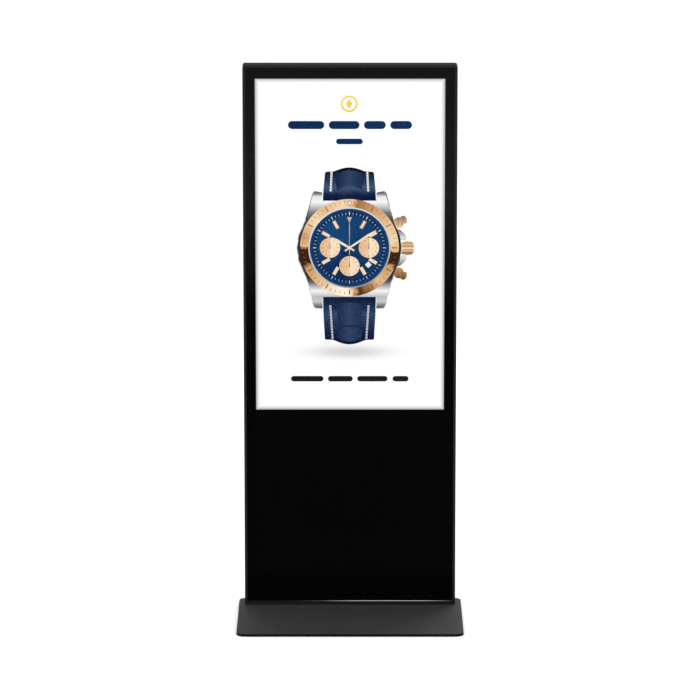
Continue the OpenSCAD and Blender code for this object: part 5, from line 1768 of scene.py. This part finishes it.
@dataclass
class MainsSwitch:
    """Red rocker of the mains switch, hollowed across its face, with a bar and a ring."""

    rest_tilt: float = -12.0
    slope: float = 12.7

    def build(self) -> None:
        """Makes the rocker and its two marks."""
        low, high = wide("rocker")
        tray = wide("switch_housing")
        half = (high.x - low.x) / 2 - 0.0005
        pivot = Vector(((low.x + high.x) / 2, tray[1].y - 0.002, (tray[0].z + tray[1].z) / 2))
        turn = Matrix.Translation(pivot) @ Matrix.Rotation(math.radians(self.rest_tilt), 4, "X")
        face = [(0.0032 + 0.0018 * (k / 8) ** 2, 0.008 * k / 8) for k in range(-8, 9)]
        outline = face + [(-0.003, 0.005), (-0.003, -0.005)]
        corners = [turn @ Vector((-half, y, z)) for y, z in outline]
        rocker = Bench.pushed("rocker_finished", corners, (2 * half, 0, 0))
        rocker = Bench.bevelled(rocker, 0.0004, 2, 40.0)
        pin = Bench.disc("rocker_pin", pivot, 0.0012, high.x - low.x, "X", vertices=24)
        rocker = Bench.joined("rocker_finished", [pin, rocker])
        Bench.carry(rocker, Body.SWITCH, "rocker_red", ROCKER_RED.make(), ["rocker"])
        bar = Bench.box("rocker_bar", (-0.0003, 0, -0.0014), (0.0003, 0.0003, 0.0014), 0.0001, 1)
        ring = Bench.ring("rocker_ring", (0, 0, 0), 0.0010, 0.0015, 0.0003, 32)
        for mark, sign in ((bar, 1), (ring, -1)):
            place = turn @ Matrix.Translation((0, 0.0037, sign * 0.0045)) @ Matrix.Rotation(
                math.radians(-sign * self.slope), 4, "X")
            moved = Bench.copy(mark, f"{mark.name}_placed", place)
            Bench.pick(mark)
            bpy.ops.object.delete()
            Bench.carry(moved, Body.SWITCH, "diffuser_white", DIFFUSER.make())


@dataclass
class Electronics:
    """Small parts on the supply, the player and the two boards."""

    screw_r: float = 0.0024
    screw_h: float = 0.0011

    def build(self) -> None:
        """Makes the small parts of each unit."""
        self.screws()
        self.supply()
        self.player()
        self.controller()

    def screws(self) -> None:
        """Cross-headed screws at the corners of each unit's cover."""
        places = []
        for node, inset in (("media_player", 0.008), ("power_supply", 0.007), ("timing_board", 0.006)):
            low, high = wide(node)
            right = high.x - (0.026 if node == "power_supply" else inset)
            for x in (low.x + inset, right):
                for z in (low.z + inset, high.z - inset):
                    places.append((x, high.y, z))
        heads = Bench.cross_heads("unit_screws", places, self.screw_r, self.screw_h)
        Bench.carry(heads, Body.CABINET, "zinc_steel", ZINC.make())

    def supply(self) -> None:
        """Terminal strip with its barriers and screws, and a green lamp."""
        low, high = wide("power_supply")
        left, right = high.x - 0.022, high.x - 0.004
        bottom, top = low.z + 0.020, high.z - 0.020
        face = low.y + 0.021
        ways = 7
        pitch = (top - bottom) / ways
        barriers = [Bench.box("barrier", (left, face, bottom + pitch * k - 0.0006),
                              (right, face + 0.004, bottom + pitch * k + 0.0006), 0.0003, 2)
                    for k in range(ways + 1)]
        strip = Bench.joined("terminal_barriers", barriers)
        Bench.carry(strip, Body.CABINET, "black_plastic", MOULDED.make())
        middle = (left + right) / 2
        places = [(middle, face, bottom + pitch * (k + 0.5)) for k in range(ways)]
        heads = Bench.cross_heads("terminal_screws", places, 0.0026, 0.0016)
        Bench.carry(heads, Body.CABINET, "contact_brass", CONTACT.make())
        lamp = Bench.turned("supply_lamp", (right - 0.002, face, top + 0.007), [
            (0, 0.003), (0.0008, 0.0028), (0.0014, 0.002), (0.0015, 0), (0, 0)], 24)
        Bench.carry(lamp, Body.CABINET, "lit_cell", Lit(
            "lamp_green", ((0.0, (0.05, 0.6, 0.12)), (1.0, (0.2, 0.9, 0.3))), Sweep.UP,
            (0, 0, top), 0.0, 0.014).make())

    def player(self) -> None:
        """Ring round the player's button, and its lamp."""
        low, high = wide("power_button")
        face = wide("media_player")[1].y
        x, z = (low.x + high.x) / 2, (low.z + high.z) / 2
        ring = Bench.turned("button_ring", (x, face, z), [
            (0.0056, 0), (0.0056, 0.0004), (0.006, 0.0006), (0.0068, 0.0004), (0.0071, 0)], 48,
            closed=True)
        Bench.carry(ring, Body.CABINET, "button_silver", SILVER.make())
        lamp = Bench.turned("player_lamp", (x, face, z - 0.014), [
            (0, 0.0007), (0.0008, 0.0006), (0.0013, 0.0003), (0.0015, 0), (0, 0)], 24)
        Bench.carry(lamp, Body.CABINET, "lit_cell", Lit(
            "lamp_blue", ((0.0, (0.05, 0.25, 0.8)), (1.0, (0.3, 0.6, 1.0))), Sweep.UP,
            (0, 0, z - 0.014), -0.0015, 0.0015).make())

    def controller(self) -> None:
        """Chip with its legs, capacitors, connector shell and screws of the touch board."""
        low, high = wide("touch_controller")
        face = low.y + 0.0056
        left, bottom = low.x + 0.024, low.z + 0.014
        grow = 0.0002
        chip = Bench.box("touch_chip", (left - grow, face, bottom - grow),
                         (left + 0.018 + grow, face + 0.0021, bottom + 0.018 + grow), 0.0004, 2)
        Bench.edit(chip, "FACE")
        Bench.select_faces(chip, lambda centre, normal: normal.y > 0.99)
        bpy.ops.mesh.inset(thickness=0.001, depth=-0.0002)
        bpy.ops.object.mode_set(mode="OBJECT")
        Bench.carry(chip, Body.CABINET, "black_plastic", MOULDED.make())
        leg = Bench.pushed("chip_legs", [
            Vector((left + 0.0012, face + up, bottom - out)) for out, up in
            ((0.0001, 0.0010), (0.0008, 0.0010), (0.0012, 0.0002), (0.002, 0.0002), (0.002, 0),
             (0.001, 0), (0.0006, 0.0008), (0.0001, 0.0008))], (0.0005, 0, 0))
        middle = Vector((left + 0.009, 0, bottom + 0.009))
        row = [Bench.copy(leg, "chip_legs", Matrix.Translation((0.0012 * k, 0, 0))) for k in range(1, 14)]
        side = Bench.joined("chip_legs", row + [leg])
        sides = [Bench.copy(side, "chip_legs", Matrix.Translation(middle) @ Matrix.Rotation(
            math.pi * k / 2, 4, "Y") @ Matrix.Translation(-middle)) for k in range(1, 4)]
        Bench.carry(Bench.joined("chip_legs", sides + [side]), Body.CABINET, "zinc_steel", ZINC.make())
        cans = []
        for x, z, r in ((0.012, 0.012, 0.0026), (0.012, 0.022, 0.0026), (0.07, 0.012, 0.0032),
                        (0.07, 0.022, 0.0022)):
            cans.append(Bench.turned("touch_cans", (low.x + x, face, low.z + z), [
                (0, 0.0048), (r * 0.8, 0.0048), (r, 0.0045), (r, 0.001), (r * 1.12, 0.0008),
                (r * 1.12, 0), (0, 0)], 24))
        Bench.carry(Bench.joined("touch_cans", cans), Body.CABINET, "socket_steel", SOCKET.make())
        chips = [Bench.box("small_parts", (low.x + 0.018 + 0.004 * k, face, low.z + 0.038),
                           (low.x + 0.020 + 0.004 * k, face + 0.0006, low.z + 0.0392), 0.0001, 1)
                 for k in range(7)]
        Bench.carry(Bench.joined("small_parts", chips), Body.CABINET, "contact_brass", CONTACT.make())
        shell = Bench.box("touch_connector", (low.x + 0.052 - grow, face, low.z + 0.034 - grow),
                          (low.x + 0.076 + grow, face + 0.005 + grow, high.z - 0.0005), 0.0005, 2)
        Bench.edit(shell, "FACE")
        Bench.select_faces(shell, lambda centre, normal: normal.y > 0.99)
        bpy.ops.mesh.inset(thickness=0.0016, depth=0.0)
        bpy.ops.mesh.inset(thickness=0.0004, depth=-0.0003)
        bpy.ops.object.mode_set(mode="OBJECT")
        Bench.carry(shell, Body.CABINET, "black_plastic", MOULDED.make())
        places = [(x, face, z) for x in (low.x + 0.005, high.x - 0.005)
                  for z in (low.z + 0.005, high.z - 0.005)]
        heads = Bench.cross_heads("board_screws", places, 0.0026, 0.0013)
        Bench.carry(heads, Body.CABINET, "zinc_steel", ZINC.make())


def main() -> None:
    """Builds the kiosk's looks round its frame."""
    logging.basicConfig(level=logging.INFO, format="%(message)s")
    Stage().build()
    dress_nodes()
    for part in (Cabinet(), Picture(), Rear(), Fans(), MainsSwitch(), Electronics()):
        part.build()
        log.info("%s built", type(part).__name__)


if __name__ == "__main__":
    main()
